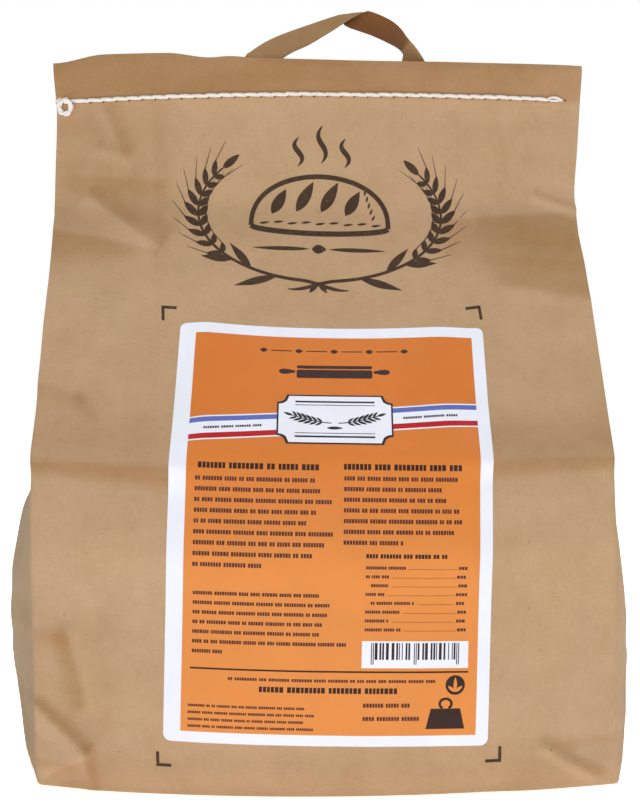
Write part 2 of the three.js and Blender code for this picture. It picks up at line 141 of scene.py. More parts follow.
def turned(u, v, angle):
    return u * math.cos(angle) - v * math.sin(angle), u * math.sin(angle) + v * math.cos(angle)


def travelled(path):
    """Length of a path up to each of its points."""
    return np.concatenate([[0], np.cumsum(np.linalg.norm(np.diff(path, axis=0), axis=1))])


TAPS = np.linspace(-6, 6, 9)
TAP_WEIGHTS = (1 - np.abs(TAPS) / 7.5) / np.sum(1 - np.abs(TAPS) / 7.5)


def profile(v, pairs):
    """Value at v on the straight stretches between (v, value) pairs, with their corners rounded."""
    places, values = np.array(pairs, float).T
    return sum(w * np.interp(v + tap, places, values) for tap, w in zip(TAPS, TAP_WEIGHTS))


def ripple(seed, count, shortest, longest):
    """A seeded field of soft waves over two coordinates, about -1 to 1."""
    rng = np.random.default_rng(seed)
    length = rng.uniform(shortest, longest, count)
    turn = rng.uniform(0, 2 * np.pi, count)
    phase = rng.uniform(0, 2 * np.pi, count)
    weight = length / np.sqrt(np.sum(length**2) * 2)

    def at(u, v):
        total = 0
        for k in range(count):
            along = u * math.cos(turn[k]) + v * math.sin(turn[k])
            total = total + weight[k] * np.sin(2 * np.pi * along / length[k] + phase[k])
        return total

    return at


# ---- the bag's form by height

FRONT_CREASE = [
    (0, -61), (8, -64.5), (80, -67), (104, -69.6), (142, -66.4),
    (257, 0), (300, -1), (323.5, -9),
]
REAR_CREASE = [
    (0, 61), (8, 64.5), (80, 67), (104, 69.6), (142, 68.4),
    (257, 3.6), (300, 2), (323.5, -6),
]
FRONT_BULGE = [
    (0, 18), (40, 20), (100, 18.5), (136, 14.5), (166, 9.5),
    (200, 6), (230, 8), (257, 11), (324, 12),
]
REAR_BULGE = [
    (0, 12), (40, 14), (100, 13), (136, 9), (166, 4),
    (200, -1), (230, -6), (257, -10), (324, -11.4),
]
LEFT_BULGE = [
    (0, 5), (8, 11), (16, 14.5), (24, 16), (38, 17.2), (53, 19.4), (68, 21.4), (90, 21), (98, 19.2),
    (106, 17.6), (114, 15.2), (121, 12.4), (128, 8), (136, 3), (146, 0),
]
RIGHT_BULGE = [
    (0, 6), (7, 10.8), (15, 13.2), (30, 15.0), (45, 17.0), (60, 17.4), (75, 16.6), (90, 14.5),
    (105, 9.5), (124, 0),
]
# How far the front wall's left and right edges stand out from where a straight bag has them.
LEFT_EDGE = [
    (0, 0), (104, 0), (120, 0.7), (141, 1.3), (165, 1.4), (200, 2.0), (235, 1.6), (262, 1.2), (279, 0.5),
    (305, -0.7), (316, -0.2), (324, 0),
]
RIGHT_EDGE = [
    (0, 0.6), (40, -0.3), (60, -0.2), (141, -0.2), (165, 0.4), (205, 0.5), (228, 0.1), (245, -1.3),
    (262, -2.3), (272, -1.8), (285, -0.4), (300, 0.6), (324, 0.6),
]

CREASE_TIP = 0.9  # rounding of a crease's edge
CREASE_BLUR = 1.7  # how far from it the shade of one side reaches into the other


def creases(*rows):
    """Ridges from one point (x, z) to another: start, end, height, reach above and below, fade past
    the ends, and how much painted shade darkens the paper on the upper and on the lower side, with
    painted highlight below 0. Height and reach may change from start to end."""
    pair = lambda v: v if isinstance(v, tuple) else (v, v)
    return [(*row[:2], *map(pair, row[2:5]), *row[5:]) for row in rows]


FRONT_CREASES = creases(
    # round the top of the filling
    ((-128, 140.5), (-63, 138.3), (1.6, 3.6), 24, (6, 13), 14, (0.3, 1.1)),
    ((70, 140.6), (127, 141.5), (3.4, 2.4), 24, (10, 6), 22, (0.5, 1.05)),
    # left of the print
    ((-128, 246.5), (-77, 236), (3.2, 1.4), 14, (26, 4), 3, (-0.25, 0.75)),
    ((-110, 263), (-75.5, 236.5), (0.9, 1.5), (7, 15), 10, 2, (0.5, -0.45)),
    ((-112, 272), (-80, 270), (1.0, 0.8), 10, (9, 15), 16, (0, 0.5)),
    ((-101, 302), (-94, 284), 0.9, 7, 6, 6, (0.4, -0.15)),
    ((-121, 299), (-104, 297), 0.6, 6, 9, 6, (0, 0.3)),
    ((-104, 285), (-92, 281), 0.5, 5, 6, 5, (0.3, -0.2)),
    ((-128, 175), (-104, 168.5), (1.8, 1.2), 16, (13, 8), 3, (-0.1, 0.4)),
    ((-104, 168.5), (-97, 160), 1.1, 10, 6, 4, (0, 0.4)),
    # right of the print
    ((62, 251), (128, 256.5), (0.8, 3.0), 10, (24, 46), 16, (-0.1, 0.82)),
    ((102, 263), (121, 256.5), (0.5, 1.3), 4, 4, 3, (0.35, -0.8)),
    ((80, 234), (118, 231), 0.5, 6, 9, 12, (-0.15, 0.2)),
    ((86, 218), (126, 212), 0.7, 10, 7, 10, (0.3, -0.2)),
    ((100, 234), (126, 226), 0.0, 22, 26, 34, (0.42, 0.42)),
    # lower left corner
    ((-124, 69), (-108, 67.5), 1.3, 8, 7, 3, (-0.2, 0.5)),
    ((-108, 67), (-100.5, 39), (1.7, 1.2), 10, 9, 7, (-0.05, 0.6)),
    ((-123, 36), (-101, 17.5), (1.2, 1.8), 6, 9, 3, (0.85, -0.3)),
    ((-101, 17), (-98.5, 2), 1.3, 5, 5, 4, (0.5, -0.1)),
    ((-121, 14), (-106, 12), 0.8, 5, 5, 4, (-0.3, 0.4)),
    ((-119, 5), (-106, 13), 0.7, 4, 4, 3, (-0.4, 0.2)),
    # lower right corner
    ((93, 19), (116, 4.5), 1.2, 6, 5, 4, (0.5, -0.35)),
    ((98, 22), (124, 23), 0.9, 9, 5, 5, (-0.2, 0.45)),
    ((108, 14), (124, 8), 0.7, 5, 5, 4, (-0.3, 0.3)),
    ((92, 1), (126, 1), (2.0, 3.2), 24, 6, 26, (0, 0)),
    # shallow folds down the upper wall
    ((-79, 300), (-77, 222), 0.5, 9, 9, 20, (0.12, -0.12)),
    ((86, 300), (90, 264), 0.4, 8, 8, 16, (-0.12, 0.12)),
)
REAR_CREASES = creases(
    ((-128, 141), (128, 140), 2.6, 24, 12, 10, (0, 0.4)),
    ((-60, 262), (-128, 240), 2.4, 22, 26, 20, (0, 0.45)),
    ((64, 250), (128, 262), 2.6, 18, 34, 20, (0, 0.45)),
    ((-40, 205), (30, 178), 1.2, 16, 9, 24, (-0.1, 0.3)),
    ((52, 96), (96, 60), 1.3, 14, 9, 20, (-0.1, 0.35)),
    ((-96, 70), (-70, 34), 1.4, 12, 9, 18, (0.3, -0.1)),
    ((-118, 26), (-94, 8), 1.6, 9, 7, 6, (0.5, -0.2)),
    ((94, 24), (119, 9), 1.4, 8, 7, 6, (0.5, -0.2)),
)

front_waves = ripple(11, 22, 34, 95)
front_cockle = ripple(12, 30, 11, 24)
rear_waves = ripple(21, 22, 30, 90)
rear_cockle = ripple(22, 30, 11, 24)
band_waves = ripple(41, 14, 14, 60)
gusset_waves = ripple(31, 20, 26, 70)
gusset_cockle = ripple(32, 26, 9, 20)


def centre_x(z):
    return BASE_OFFSET - LEAN * z / BODY_TOP


def panel_edge(side, z):
    """X of the walls' left (-1) or right (1) edge."""
    return centre_x(z) + side * (PANEL_HALF + profile(z, LEFT_EDGE if side < 0 else RIGHT_EDGE))


def panel_arch(x, z):
    return 1 - np.clip((x - centre_x(z)) / PANEL_HALF, -1, 1) ** 2


def across_crease(ridge, x, z):
    """Which part of a crease a point lies beside: share of its reach, side, place along it and
    strength."""
    (x0, z0), (x1, z1), _, above, below, fade, _ = ridge
    run_x, run_z = x1 - x0, z1 - z0
    length = math.hypot(run_x, run_z)
    along = ((x - x0) * run_x + (z - z0) * run_z) / length
    beyond = np.maximum(0, np.maximum(-along, along - length))
    t = np.clip(along / length, 0, 1)
    side = ((z - z0) * run_x - (x - x0) * run_z) / length * (1 if run_x >= 0 else -1)
    reach = np.where(side > 0, mix(*above, t), mix(*below, t))
    distance = np.sqrt(side**2 + CREASE_TIP**2) - CREASE_TIP
    return distance / reach, side, t, 1 - ease(0, fade, beyond)


def crease_relief(ridges, x, z):
    relief = 0
    for ridge in ridges:
        share, _, t, strength = across_crease(ridge, x, z)
        relief = relief + mix(*ridge[2], t) * np.maximum(0, 1 - share) ** 1.5 * strength
    return relief


def crease_shade(ridges, x, z):
    shade = 0
    for ridge in ridges:
        share, side, _, strength = across_crease(ridge, x, z)
        upper, lower = ridge[6]
        depth = mix(lower, upper, ease(-CREASE_BLUR, CREASE_BLUR, side))
        shade = shade + depth * ease(1.15, 0.25, share) * strength
    return shade


def label_cover(x, z):
    """1 under the label, which keeps the paper smooth, and 0 away from it."""
    across = ease(82, 66, np.abs(x - 2))
    return across * ease(14, 30, z) * ease(210, 194, z)


def seam_pucker(x, z):
    """Small dimples where the stitches pull the walls together."""
    phase = np.cos(2 * np.pi * (x - STITCH_END) / STITCH_PITCH)
    near = np.maximum(0, 1 - np.abs(z - STITCH_HEIGHT) / 9) ** 2
    return near * (0.55 + 0.2 * phase)


def top_round(z):
    return np.clip((z - BODY_TOP + 4.5) / 4.5, 0, 1) ** 2


def front_y(x, z):
    waves = 0.55 * front_waves(x, z) + 0.09 * front_cockle(x, z)
    waves = waves * (1 - 0.75 * label_cover(x, z)) * ease(0, 14, z)
    bulge = profile(z, FRONT_BULGE) * panel_arch(x, z)
    y = profile(z, FRONT_CREASE) - bulge - crease_relief(FRONT_CREASES, x, z) - waves
    return y + seam_pucker(x, z) + 1.1 * top_round(z)


def hem_step(x, z):
    """The top fold stands out on the rear, a little more along its loose lower edge."""
    edge = HEM_BOTTOM + 0.7 * np.sin(x / 19) + 0.4 * np.sin(x / 7.3 + 1)
    loose = 0.5 + 0.5 * np.sin(x / 13 + 2)
    lift = HEM_STEP + 0.5 * loose * ease(HEM_BOTTOM + 9, HEM_BOTTOM, z)
    return lift * ease(edge - 0.35, edge + 0.35, z)


def rear_y(x, z):
    waves = 0.6 * rear_waves(x, z) + 0.1 * rear_cockle(x, z)
    bulge = profile(z, REAR_BULGE) * panel_arch(x, z)
    overlap = OVERLAP_STEP * ease(OVERLAP_X + 0.4, OVERLAP_X - 0.4, x)
    overlap = overlap * ease(OVERLAP_X - 60, OVERLAP_X - 20, x)
    y = profile(z, REAR_CREASE) + bulge + crease_relief(REAR_CREASES, x, z) + waves * ease(0, 14, z)
    return y + overlap + hem_step(x, z) - seam_pucker(x, z) - 1.2 * top_round(z)


# How far the seam lies above its level height, from left to right.
SEAM_RISE = [(-125, -0.6), (-113, -0.4), (-50, 0.7), (0, 1.2), (62, 1.3), (115, 1.7), (125, 1.8)]


def level_error(x, z):
    """Heights added to a point whose level height is z: the top edge and the seam aren't level."""
    top_step = 2.6 * ease(-50, -72, x) * ease(-124, -100, x)
    corners = 1.0 * ease(60, 122, x) - 0.7 * ease(-104, -124, x)
    top_error = 1.2 * ease(20, -60, x) + top_step + corners + 0.8 * np.exp(-((x + 42) / 8) ** 2)
    seam_error = profile(x, SEAM_RISE)
    below = seam_error * ease(262, STITCH_HEIGHT, z)
    above = mix(seam_error, top_error, (z - STITCH_HEIGHT) / (BODY_TOP - STITCH_HEIGHT))
    return np.where(z < STITCH_HEIGHT, below, above)


def gusset_fold_depth(z):
    half_opening = (profile(z, REAR_CREASE) - profile(z, FRONT_CREASE)) / 2
    paper_depth = np.sqrt(np.maximum(0, GUSSET_HALF**2 - half_opening**2))
    return 0.9 * paper_depth * ease(118, 165, z) * ease(2, 10, half_opening)


def gusset_relief(side, across, z):
    """Creases pressed into a gusset: its middle fold, the two folds that run to the bottom corners,
    and the crease round the top of the filling."""
    middle = -1.3 * np.maximum(0, 1 - np.abs(across) / 0.09) ** 1.5 * ease(60, 80, z)
    slant = np.abs(np.abs(across) - np.clip(1 - z / 68, 0, 1)) * 58
    slant = np.sqrt(slant**2 + 2.5**2) - 2.5
    corner = 1.1 * np.maximum(0, 1 - slant / 7) ** 2 * ease(70, 62, z)
    knee = 1.8 * np.maximum(0, 1 - np.abs(z - 139 - 5 * side * across) / 13) ** 2
    waves = gusset_waves(across * 66 + 200 * side, z) * 0.8
    waves = waves + gusset_cockle(across * 66 + 200 * side, z) * 0.14
    waves = waves * ease(2, 20, z) * ease(262, 225, z)
    return (middle + corner + knee + waves) * ease(1, 0.86, np.abs(across))


def gusset_point(side, across, z):
    """Point of a gusset: side -1 left or 1 right, across from -1 at the front to 1 at the rear."""
    bulge = profile(z, LEFT_BULGE if side < 0 else RIGHT_BULGE) * (1 - across**2)
    fold = gusset_fold_depth(z) * (1 - np.abs(across))
    relief = gusset_relief(side, across, z)
    edge_x = panel_edge(side, z)
    x = edge_x + side * (bulge - fold + relief)
    bow = (profile(z, REAR_BULGE) - profile(z, FRONT_BULGE)) / 2 * panel_arch(x, z)
    return x, mix(front_y(edge_x, z), rear_y(edge_x, z), (across + 1) / 2) + bow


# ---- meshes and pieces

SHEET_EDGE = math.radians(38)
PAPER_FOLD = math.radians(80)


def make_piece(name, points, faces, material, replaces=(), sharp=SHEET_EDGE):
    """A mesh of points in millimetres that rides on the bag."""
    mesh = bpy.data.meshes.new(name)
    mesh.from_pydata((np.asarray(points, float) * MM).tolist(), [], faces)
    mesh.shade_smooth()
    mesh.set_sharp_from_angle(angle=sharp)
    mesh.materials.append(material)
    piece = bpy.data.objects.new(name, mesh)
    bpy.context.scene.collection.objects.link(piece)
    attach(piece, "root")
    if replaces:
        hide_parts(*replaces)
    return piece


def grid_faces(ids):
    """Quads over a grid of vertex numbers, counter-clockwise as its first axis turns to its second."""
    quads = np.stack([ids[:-1, :-1], ids[1:, :-1], ids[1:, 1:], ids[:-1, 1:]], axis=-1)
    return quads.reshape(-1, 4).tolist()


def ring_faces(ids):
    """Quads round rings of vertex numbers."""
    return grid_faces(np.concatenate([ids, ids[:, :1]], axis=1).T)


def tube_faces(ids):
    """The same with a face over each end."""
    return ring_faces(ids) + [ids[0][::-1].tolist(), ids[-1].tolist()]


def on_front(x, z, lift):
    """Points `lift` off the front wall, at x and level height z."""
    e = 0.6
    run = (front_y(x + e, z) - front_y(x - e, z)) / (2 * e)
    rise = (front_y(x, z + e) - front_y(x, z - e)) / (2 * e)
    normal = unit(join(run, -np.ones_like(run), rise))
    point = join(x, front_y(x, z), z + level_error(x, z))
    return point + np.asarray(lift, float)[..., None] * normal


# Lengths along the front wall's paper, from the bottom up, on a grid of x and height.
ARC_X = np.arange(-92, 93, 2.0)
ARC_Z = np.arange(0, 324, 1.0)
_wall = front_y(ARC_X[:, None], ARC_Z[None, :])
_steps = np.hypot(np.diff(_wall, axis=1), 1.0)
ARC = np.concatenate([np.zeros((len(ARC_X), 1)), np.cumsum(_steps, axis=1)], axis=1)


def height_at(x, arc):
    """Level height of the points that lie `arc` up along the paper."""
    x, arc = np.broadcast_arrays(np.asarray(x, float), np.asarray(arc, float))
    column = np.clip((x - ARC_X[0]) / 2, 0, len(ARC_X) - 1.001)
    k = column.astype(int)
    t = column - k
    z = arc.copy()
    for _ in range(12):
        row = np.clip(z, 0, len(ARC_Z) - 1.001)
        j = row.astype(int)
        s = row - j
        low = mix(ARC[k, j], ARC[k + 1, j], t)
        high = mix(ARC[k, j + 1], ARC[k + 1, j + 1], t)
        z = z + (arc - mix(low, high, s)) / (high - low)
    return z


def on_label(u, v, lift):
    """Points on the label, u right and v up from its middle, `lift` off the wall."""
    v = v - LABEL_SAG * (1 - np.clip(u / 67, -1, 1) ** 2) * ease(30, 95, v)
    x, arc = turned(u, v, LABEL_TURN)
    x = LABEL_CENTRE[0] + x
    return on_front(x, height_at(x, LABEL_CENTRE[1] + arc), lift)


def on_emblem(u, v, lift):
    """Points of the emblem on the bag, u right and v up from its middle."""
    x, z = turned(u, v, EMBLEM_TURN)
    return on_front(EMBLEM_CENTRE[0] + x, EMBLEM_CENTRE[1] + z, lift)


class Sheets:
    """Thin closed sheets over the front wall, gathered into one mesh."""

    def __init__(self, place, lift, thickness=PRINT_THICKNESS):
        self.place, self.lift, self.thickness = place, lift, thickness
        self.u, self.v, self.raised = [], [], []
        self.faces, self.count = [], 0

    def grid(self, u, v, raised=0.0):
        """One sheet over a grid of two coordinates."""
        u, v = np.asarray(u, float), np.asarray(v, float)
        turned = (u[1:, :-1] - u[:-1, :-1]) * (v[:-1, 1:] - v[:-1, :-1])
        turned = turned - (v[1:, :-1] - v[:-1, :-1]) * (u[:-1, 1:] - u[:-1, :-1])
        if turned.sum() < 0:
            u, v = u[::-1], v[::-1]
        self.u.append(u.ravel())
        self.v.append(v.ravel())
        self.raised.append(np.full(u.size, raised))
        low = 2 * (self.count + np.arange(u.size).reshape(u.shape))
        high = low + 1
        self.faces += grid_faces(high) + grid_faces(low[::-1])
        rim = [(low[:, 0], high[:, 0]), (low[-1, :], high[-1, :])]
        rim += [(low[::-1, -1], high[::-1, -1]), (low[0, ::-1], high[0, ::-1])]
        for under, over in rim:
            quads = np.stack([under[:-1], under[1:], over[1:], over[:-1]], axis=-1)
            self.faces += quads.tolist()
        self.count += u.size

    def box(self, u0, u1, v0, v1, step=3.0, raised=0.0):
        across = max(2, int(math.ceil(abs(u1 - u0) / step)) + 1)
        up = max(2, int(math.ceil(abs(v1 - v0) / step)) + 1)
        u, v = np.meshgrid(np.linspace(u0, u1, across), np.linspace(v0, v1, up), indexing="ij")
        self.grid(u, v, raised)

    def stroke(self, path, widths, raised=0.0):
        """A line of varying width along a path of (u, v) points."""
        path = np.asarray(path, float)
        along = unit(np.gradient(path, axis=0))
        aside = join(-along[:, 1], along[:, 0]) * np.reshape(widths, (-1, 1)) / 2
        lines = np.stack([path - aside, path, path + aside], axis=1)
        self.grid(lines[..., 0], lines[..., 1], raised)

    def piece(self, name, material, replaces=()):
        u, v, raised = (np.concatenate(part) for part in (self.u, self.v, self.raised))
        inner = self.place(u, v, np.full(len(u), self.lift))
        outer = self.place(u, v, self.lift + self.thickness + raised)
        points = np.stack([inner, outer], axis=1).reshape(-1, 3)
        make_piece(name, points, self.faces, material, replaces)


# ---- materials


class Shader:
    """A node material with short calls for the nodes that the finishes share."""

    def __init__(self, name, roughness, specular):
        self.material = bpy.data.materials.new(name)
        self.material.use_nodes = True
        self.tree = self.material.node_tree
        self.surface = self.tree.nodes["Principled BSDF"].inputs
        self.surface["Roughness"].default_value = roughness
        self.surface["Specular IOR Level"].default_value = specular
        self.place = self.node("ShaderNodeTexCoord").outputs["Object"]
        self.normal = None

    def put(self, socket, value):
        if isinstance(value, bpy.types.NodeSocket):
            self.tree.links.new(value, socket)
        else:
            socket.default_value = value

    def node(self, kind, **inputs):
        made = self.tree.nodes.new(kind)
        for name, value in inputs.items():
            self.put(made.inputs[name.replace("_", " ")], value)
        return made

    def noise(self, size, detail=2.0, roughness=0.5, stretch=(1, 1, 1), turn=(0, 0, 0), warp=0.0):
        """Noise with features about `size` millimetres wide."""
        place = self.node("ShaderNodeMapping", Vector=self.place, Scale=stretch, Rotation=turn)
        made = self.node(
            "ShaderNodeTexNoise", Vector=place.outputs[0], Scale=1000.0 / size,
            Detail=detail, Roughness=roughness, Distortion=warp,
        )
        return made.outputs["Fac"]

    def ramp(self, value, low, high, to_low=0.0, to_high=1.0):
        made = self.node(
            "ShaderNodeMapRange", Value=value, From_Min=low, From_Max=high,
            To_Min=to_low, To_Max=to_high,
        )
        return made.outputs["Result"]

    def blend(self, share, a, b, kind="MIX"):
        made = self.tree.nodes.new("ShaderNodeMix")
        made.data_type = "RGBA"
        made.blend_type = kind
        for k, value in ((0, share), (6, a), (7, b)):
            self.put(made.inputs[k], (*value, 1.0) if isinstance(value, tuple) else value)
        return made.outputs[2]

    def times(self, color, tint):
        return self.blend(1.0, color, tint, "MULTIPLY")

    def attribute(self, name):
        made = self.tree.nodes.new("ShaderNodeAttribute")
        made.attribute_name = name
        return made.outputs["Fac"]

    def color(self, value):
        self.put(self.surface["Base Color"], value)

    def bump(self, height, depth):
        """Relief `depth` millimetres deep, on top of the relief that is there already."""
        made = self.node("ShaderNodeBump", Height=height, Strength=1.0, Distance=depth * MM)
        if self.normal is not None:
            self.put(made.inputs["Normal"], self.normal)
        self.normal = made.outputs["Normal"]
        self.put(self.surface["Normal"], self.normal)


# Paper colours: the sheet, its dark and light clouds, and the tint of painted shade.
KRAFT = ((0.512, 0.331, 0.196), (0.395, 0.240, 0.127), (0.60, 0.402, 0.252), (0.715, 0.61, 0.46))
STRAP_KRAFT = (
    (0.335, 0.192, 0.082), (0.235, 0.128, 0.052), (0.43, 0.265, 0.125), (0.57, 0.41, 0.29),
)
FIBRE = (0.27, 0.155, 0.082)


def kraft_finish(name, base, dark, light, shade_tint):
    """Brown kraft paper: cloudy formation, faint fibres both ways, and a few dark specks. Painted shade
    darkens it towards `shade_tint` where the mesh's tone is above 0, painted highlight lightens it
    where tone is below 0, and painted shade darkens and greys it where its attribute grey is."""
    s = Shader(name, 0.82, 0.25)
    grain = s.noise(0.9, 3.0, 0.7)
    upright = s.noise(1.6, 2.0, 0.5, (2.2, 2.2, 0.35), (0.0, 0.06, 0.0), 0.3)
    level = s.noise(1.6, 2.0, 0.5, (0.35, 0.35, 2.2), (0.05, 0.0, 0.0), 0.3)
    strands = s.noise(2.4, 2.0, 0.5, (0.7, 0.7, 2.8), (0.3, 0.5, 0.2), 0.8)
    color = s.blend(s.ramp(s.noise(21, 3.0, 0.6), 0.32, 0.68, 0.0, 0.44), base, dark)
    yellowed = s.times(color, (0.97, 1.0, 0.92))
    color = s.blend(s.ramp(s.noise(33, 2.0, 0.5), 0.38, 0.62), color, yellowed)
    for field, low, high, share, tint in (
        (s.noise(7.0, 3.0, 0.65), 0.3, 0.7, 0.26, light),
        (grain, 0.35, 0.75, 0.20, dark),
        (upright, 0.45, 0.75, 0.22, light),
        (level, 0.50, 0.78, 0.22, dark),
        (strands, 0.70, 0.78, 0.35, FIBRE),
        (s.noise(1.7, 1.0, 0.4), 0.76, 0.82, 0.7, FIBRE),
    ):
        color = s.blend(s.ramp(field, low, high, 0.0, share), color, tint)
    # Painted shade where tone is above 0, painted highlight where it is below 0.
    tone = s.attribute("tone")
    color = s.blend(s.ramp(tone, 0.0, 1.3), color, s.times(color, shade_tint))
    color = s.blend(s.ramp(tone, 0.0, -1.0, 0.0, 0.6), color, light)
    # Painted shade on the left gusset, darker and greyer where attribute grey is.
    s.color(s.blend(s.attribute("grey"), color, s.times(color, (0.78, 0.86, 0.88))))
    s.put(s.surface["Roughness"], s.ramp(grain, 0.3, 0.7, 0.72, 0.9))
    for field, depth in ((s.noise(8.0, 3.0, 0.6), 0.22), (upright, 0.035), (grain, 0.03)):
        s.bump(field, depth)
    return s.material


def ink_finish():
    """Dark brown ink that has sunk into the kraft paper, a little uneven."""
    s = Shader("brown_ink", 0.7, 0.25)
    patches = s.ramp(s.noise(3.0, 3.0, 0.7), 0.35, 0.7)
    color = s.blend(patches, (0.046, 0.024, 0.012), (0.070, 0.038, 0.020))
    pin = s.ramp(s.noise(0.8, 2.0, 0.6), 0.66, 0.74, 0.0, 0.55)
    s.color(s.blend(pin, color, KRAFT[1]))
    s.bump(s.noise(0.9, 2.0, 0.6), 0.03)
    return s.material


def coated_finish(name, low, high=None):
    """Coated label paper in one printed colour, or in two running up the label as painted shade."""
    s = Shader(name, 0.5, 0.22)
    color = low
    # Painted shade: between 90 and 160 mm high the colour turns from `low` to the darker `high`.
    if high is not None:
        place = s.node("ShaderNodeSeparateXYZ", Vector=s.place).outputs["Z"]
        color = s.blend(s.ramp(place, 0.09, 0.16), low, high)
    worn = s.times(color, (0.90, 0.89, 0.88))
    s.color(s.blend(s.ramp(s.noise(22, 3.0, 0.55), 0.35, 0.7, 0.0, 0.5), color, worn))
    s.put(s.surface["Roughness"], s.ramp(s.noise(2.5, 2.0, 0.5), 0.3, 0.7, 0.47, 0.56))
    s.bump(s.noise(14.0, 2.0, 0.5), 0.05)
    s.bump(s.noise(0.7, 2.0, 0.5), 0.006)
    return s.material


def thread_finish():
    s = Shader("cotton_thread", 0.85, 0.2)
    hairs = s.noise(0.45, 2.0, 0.6, stretch=(1, 1, 3))
    color = s.blend(s.ramp(hairs, 0.3, 0.7), (0.93, 0.91, 0.88), (0.72, 0.67, 0.60))
    stains = s.ramp(s.noise(9.0, 2.0, 0.6), 0.6, 0.8, 0.0, 0.25)
    s.color(s.blend(stains, color, (0.85, 0.72, 0.62)))
    s.surface["Sheen Weight"].default_value = 0.25
    s.bump(hairs, 0.06)
    return s.material


def hole_and_shadow_finish():
    # Dark brown for the needle holes and the painted shadow under the stitches.
    s = Shader("punched_paper", 0.95, 0.1)
    s.color(s.blend(s.noise(0.6, 2.0), (0.12, 0.07, 0.035), (0.20, 0.12, 0.065)))
    s.bump(s.noise(0.5, 2.0), 0.03)
    return s.material


# ---- paper bag

PANEL_STEPS = 150
GUSSET_STEPS = 46
REAR_START = PANEL_STEPS + GUSSET_STEPS  # where the rear wall starts in a ring
RING = 2 * REAR_START
FRONT = slice(0, PANEL_STEPS + 1)
REAR = slice(REAR_START, REAR_START + PANEL_STEPS + 1)
LEVELS = np.concatenate([
    BASE_ROUND * (1 - np.cos(np.radians(np.arange(0, 90, 15)))),
    np.arange(BASE_ROUND, HEM_BOTTOM - 2, 1.6),
    np.arange(HEM_BOTTOM - 1.6, HEM_BOTTOM + 1.7, 0.4),
    np.arange(HEM_BOTTOM + 3.0, BODY_TOP - 5, 1.35),
    BODY_TOP - 4.6 * np.array([0.95, 0.78, 0.62, 0.48, 0.34, 0.22, 0.12, 0.05, 0.0]),
])


def round_corners(x, y):
    """Softens the rings' four vertical creases."""
    for c in (0, PANEL_STEPS, REAR_START, REAR_START + PANEL_STEPS):
        for k in (c - 1, c, c + 1):
            for v in (x, y):
                v[:, k] = v[:, k] * 0.6 + (v[:, (k - 1) % RING] + v[:, (k + 1) % RING]) * 0.2


def bag_rings():
    """Points of the walls: one ring for each level, counter-clockwise seen from above, from the left
    front crease along the front, the right gusset, the rear and the left gusset."""
    z = LEVELS[:, None]
    panel_x = mix(panel_edge(-1, z), panel_edge(1, z), np.linspace(0, 1, PANEL_STEPS + 1))
    across = np.linspace(-1, 1, GUSSET_STEPS + 1)[1:-1]
    parts = [
        (panel_x, front_y(panel_x, z)),
        gusset_point(1, across, z),
        (panel_x[:, ::-1], rear_y(panel_x, z)[:, ::-1]),
        [v[:, ::-1] for v in gusset_point(-1, across, z)],
    ]
    x, y = (np.concatenate([part[k] for part in parts], axis=1) for k in (0, 1))
    round_corners(x, y)
    inset = BASE_ROUND - np.sqrt(np.maximum(0, BASE_ROUND**2 - np.maximum(0, BASE_ROUND - z) ** 2))
    length = np.hypot(x / PANEL_HALF, y / GUSSET_HALF)
    x = x - inset * x / PANEL_HALF / length
    y = y - inset * y / GUSSET_HALF / length
    return join(x, y, z + corner_lift(x, y) * ease(30, 0, z) + level_error(x, z))


def corner_lift(x, y):
    towards_side = ease(0.72, 1, np.abs(x) / PANEL_HALF)
    front_right = ease(0, 60, x) * ease(0, -30, y)
    lift = CORNER_LIFT * (1 - 0.8 * front_right)
    return lift * towards_side * ease(0.55, 1, np.abs(y) / GUSSET_HALF)


def bottom_relief(x, y):
    """The folded bottom: a pasted patch that the bag stands on, and the folds round it."""
    patch = ease(106, 105, np.abs(x)) * ease(47, 46, np.abs(y))
    fold = np.abs(np.abs(y) - 66 + (118 - np.abs(x)) * 0.9)
    folds = np.maximum(0, 1 - fold / 1.4) * ease(40, 60, np.abs(x))
    return 0.45 * (1 - patch) + 0.3 * folds * (1 - patch)


def bag_mesh():
    rings = bag_rings()
    ids = np.arange(len(LEVELS) * RING).reshape(-1, RING)
    faces = ring_faces(ids)
    base, top = ids[0], ids[-1]

    # The bottom is a grid of lines from the left gusset to the right one.
    t = np.linspace(0, 1, GUSSET_STEPS + 1)[1:-1, None, None]
    inner = mix(rings[0][FRONT][1:-1], rings[0][REAR][::-1][1:-1], t)
    inner[..., 2] = corner_lift(inner[..., 0], inner[..., 1])
    inner[..., 2] += bottom_relief(inner[..., 0], inner[..., 1])
    inner_ids = ids.size + np.arange(inner[..., 0].size).reshape(inner.shape[:2])
    left, right = base[REAR.stop:][::-1, None], base[FRONT.stop:REAR_START, None]
    middle = np.concatenate([left, inner_ids, right], axis=1)
    faces += grid_faces(np.concatenate([base[None, FRONT], middle, base[REAR][None, ::-1]]))

    # The top is a strip between the walls, with a fan over each gusset's points.
    faces += grid_faces(join(top[FRONT], top[REAR][::-1]))
    for end in (top[PANEL_STEPS:REAR_START + 1], [*top[REAR.stop - 1:], top[0]]):
        faces += [[int(end[0]), int(end[i]), int(end[i + 1])] for i in range(1, len(end) - 1)]
    return np.concatenate([rings.reshape(-1, 3), inner.reshape(-1, 3)]), faces


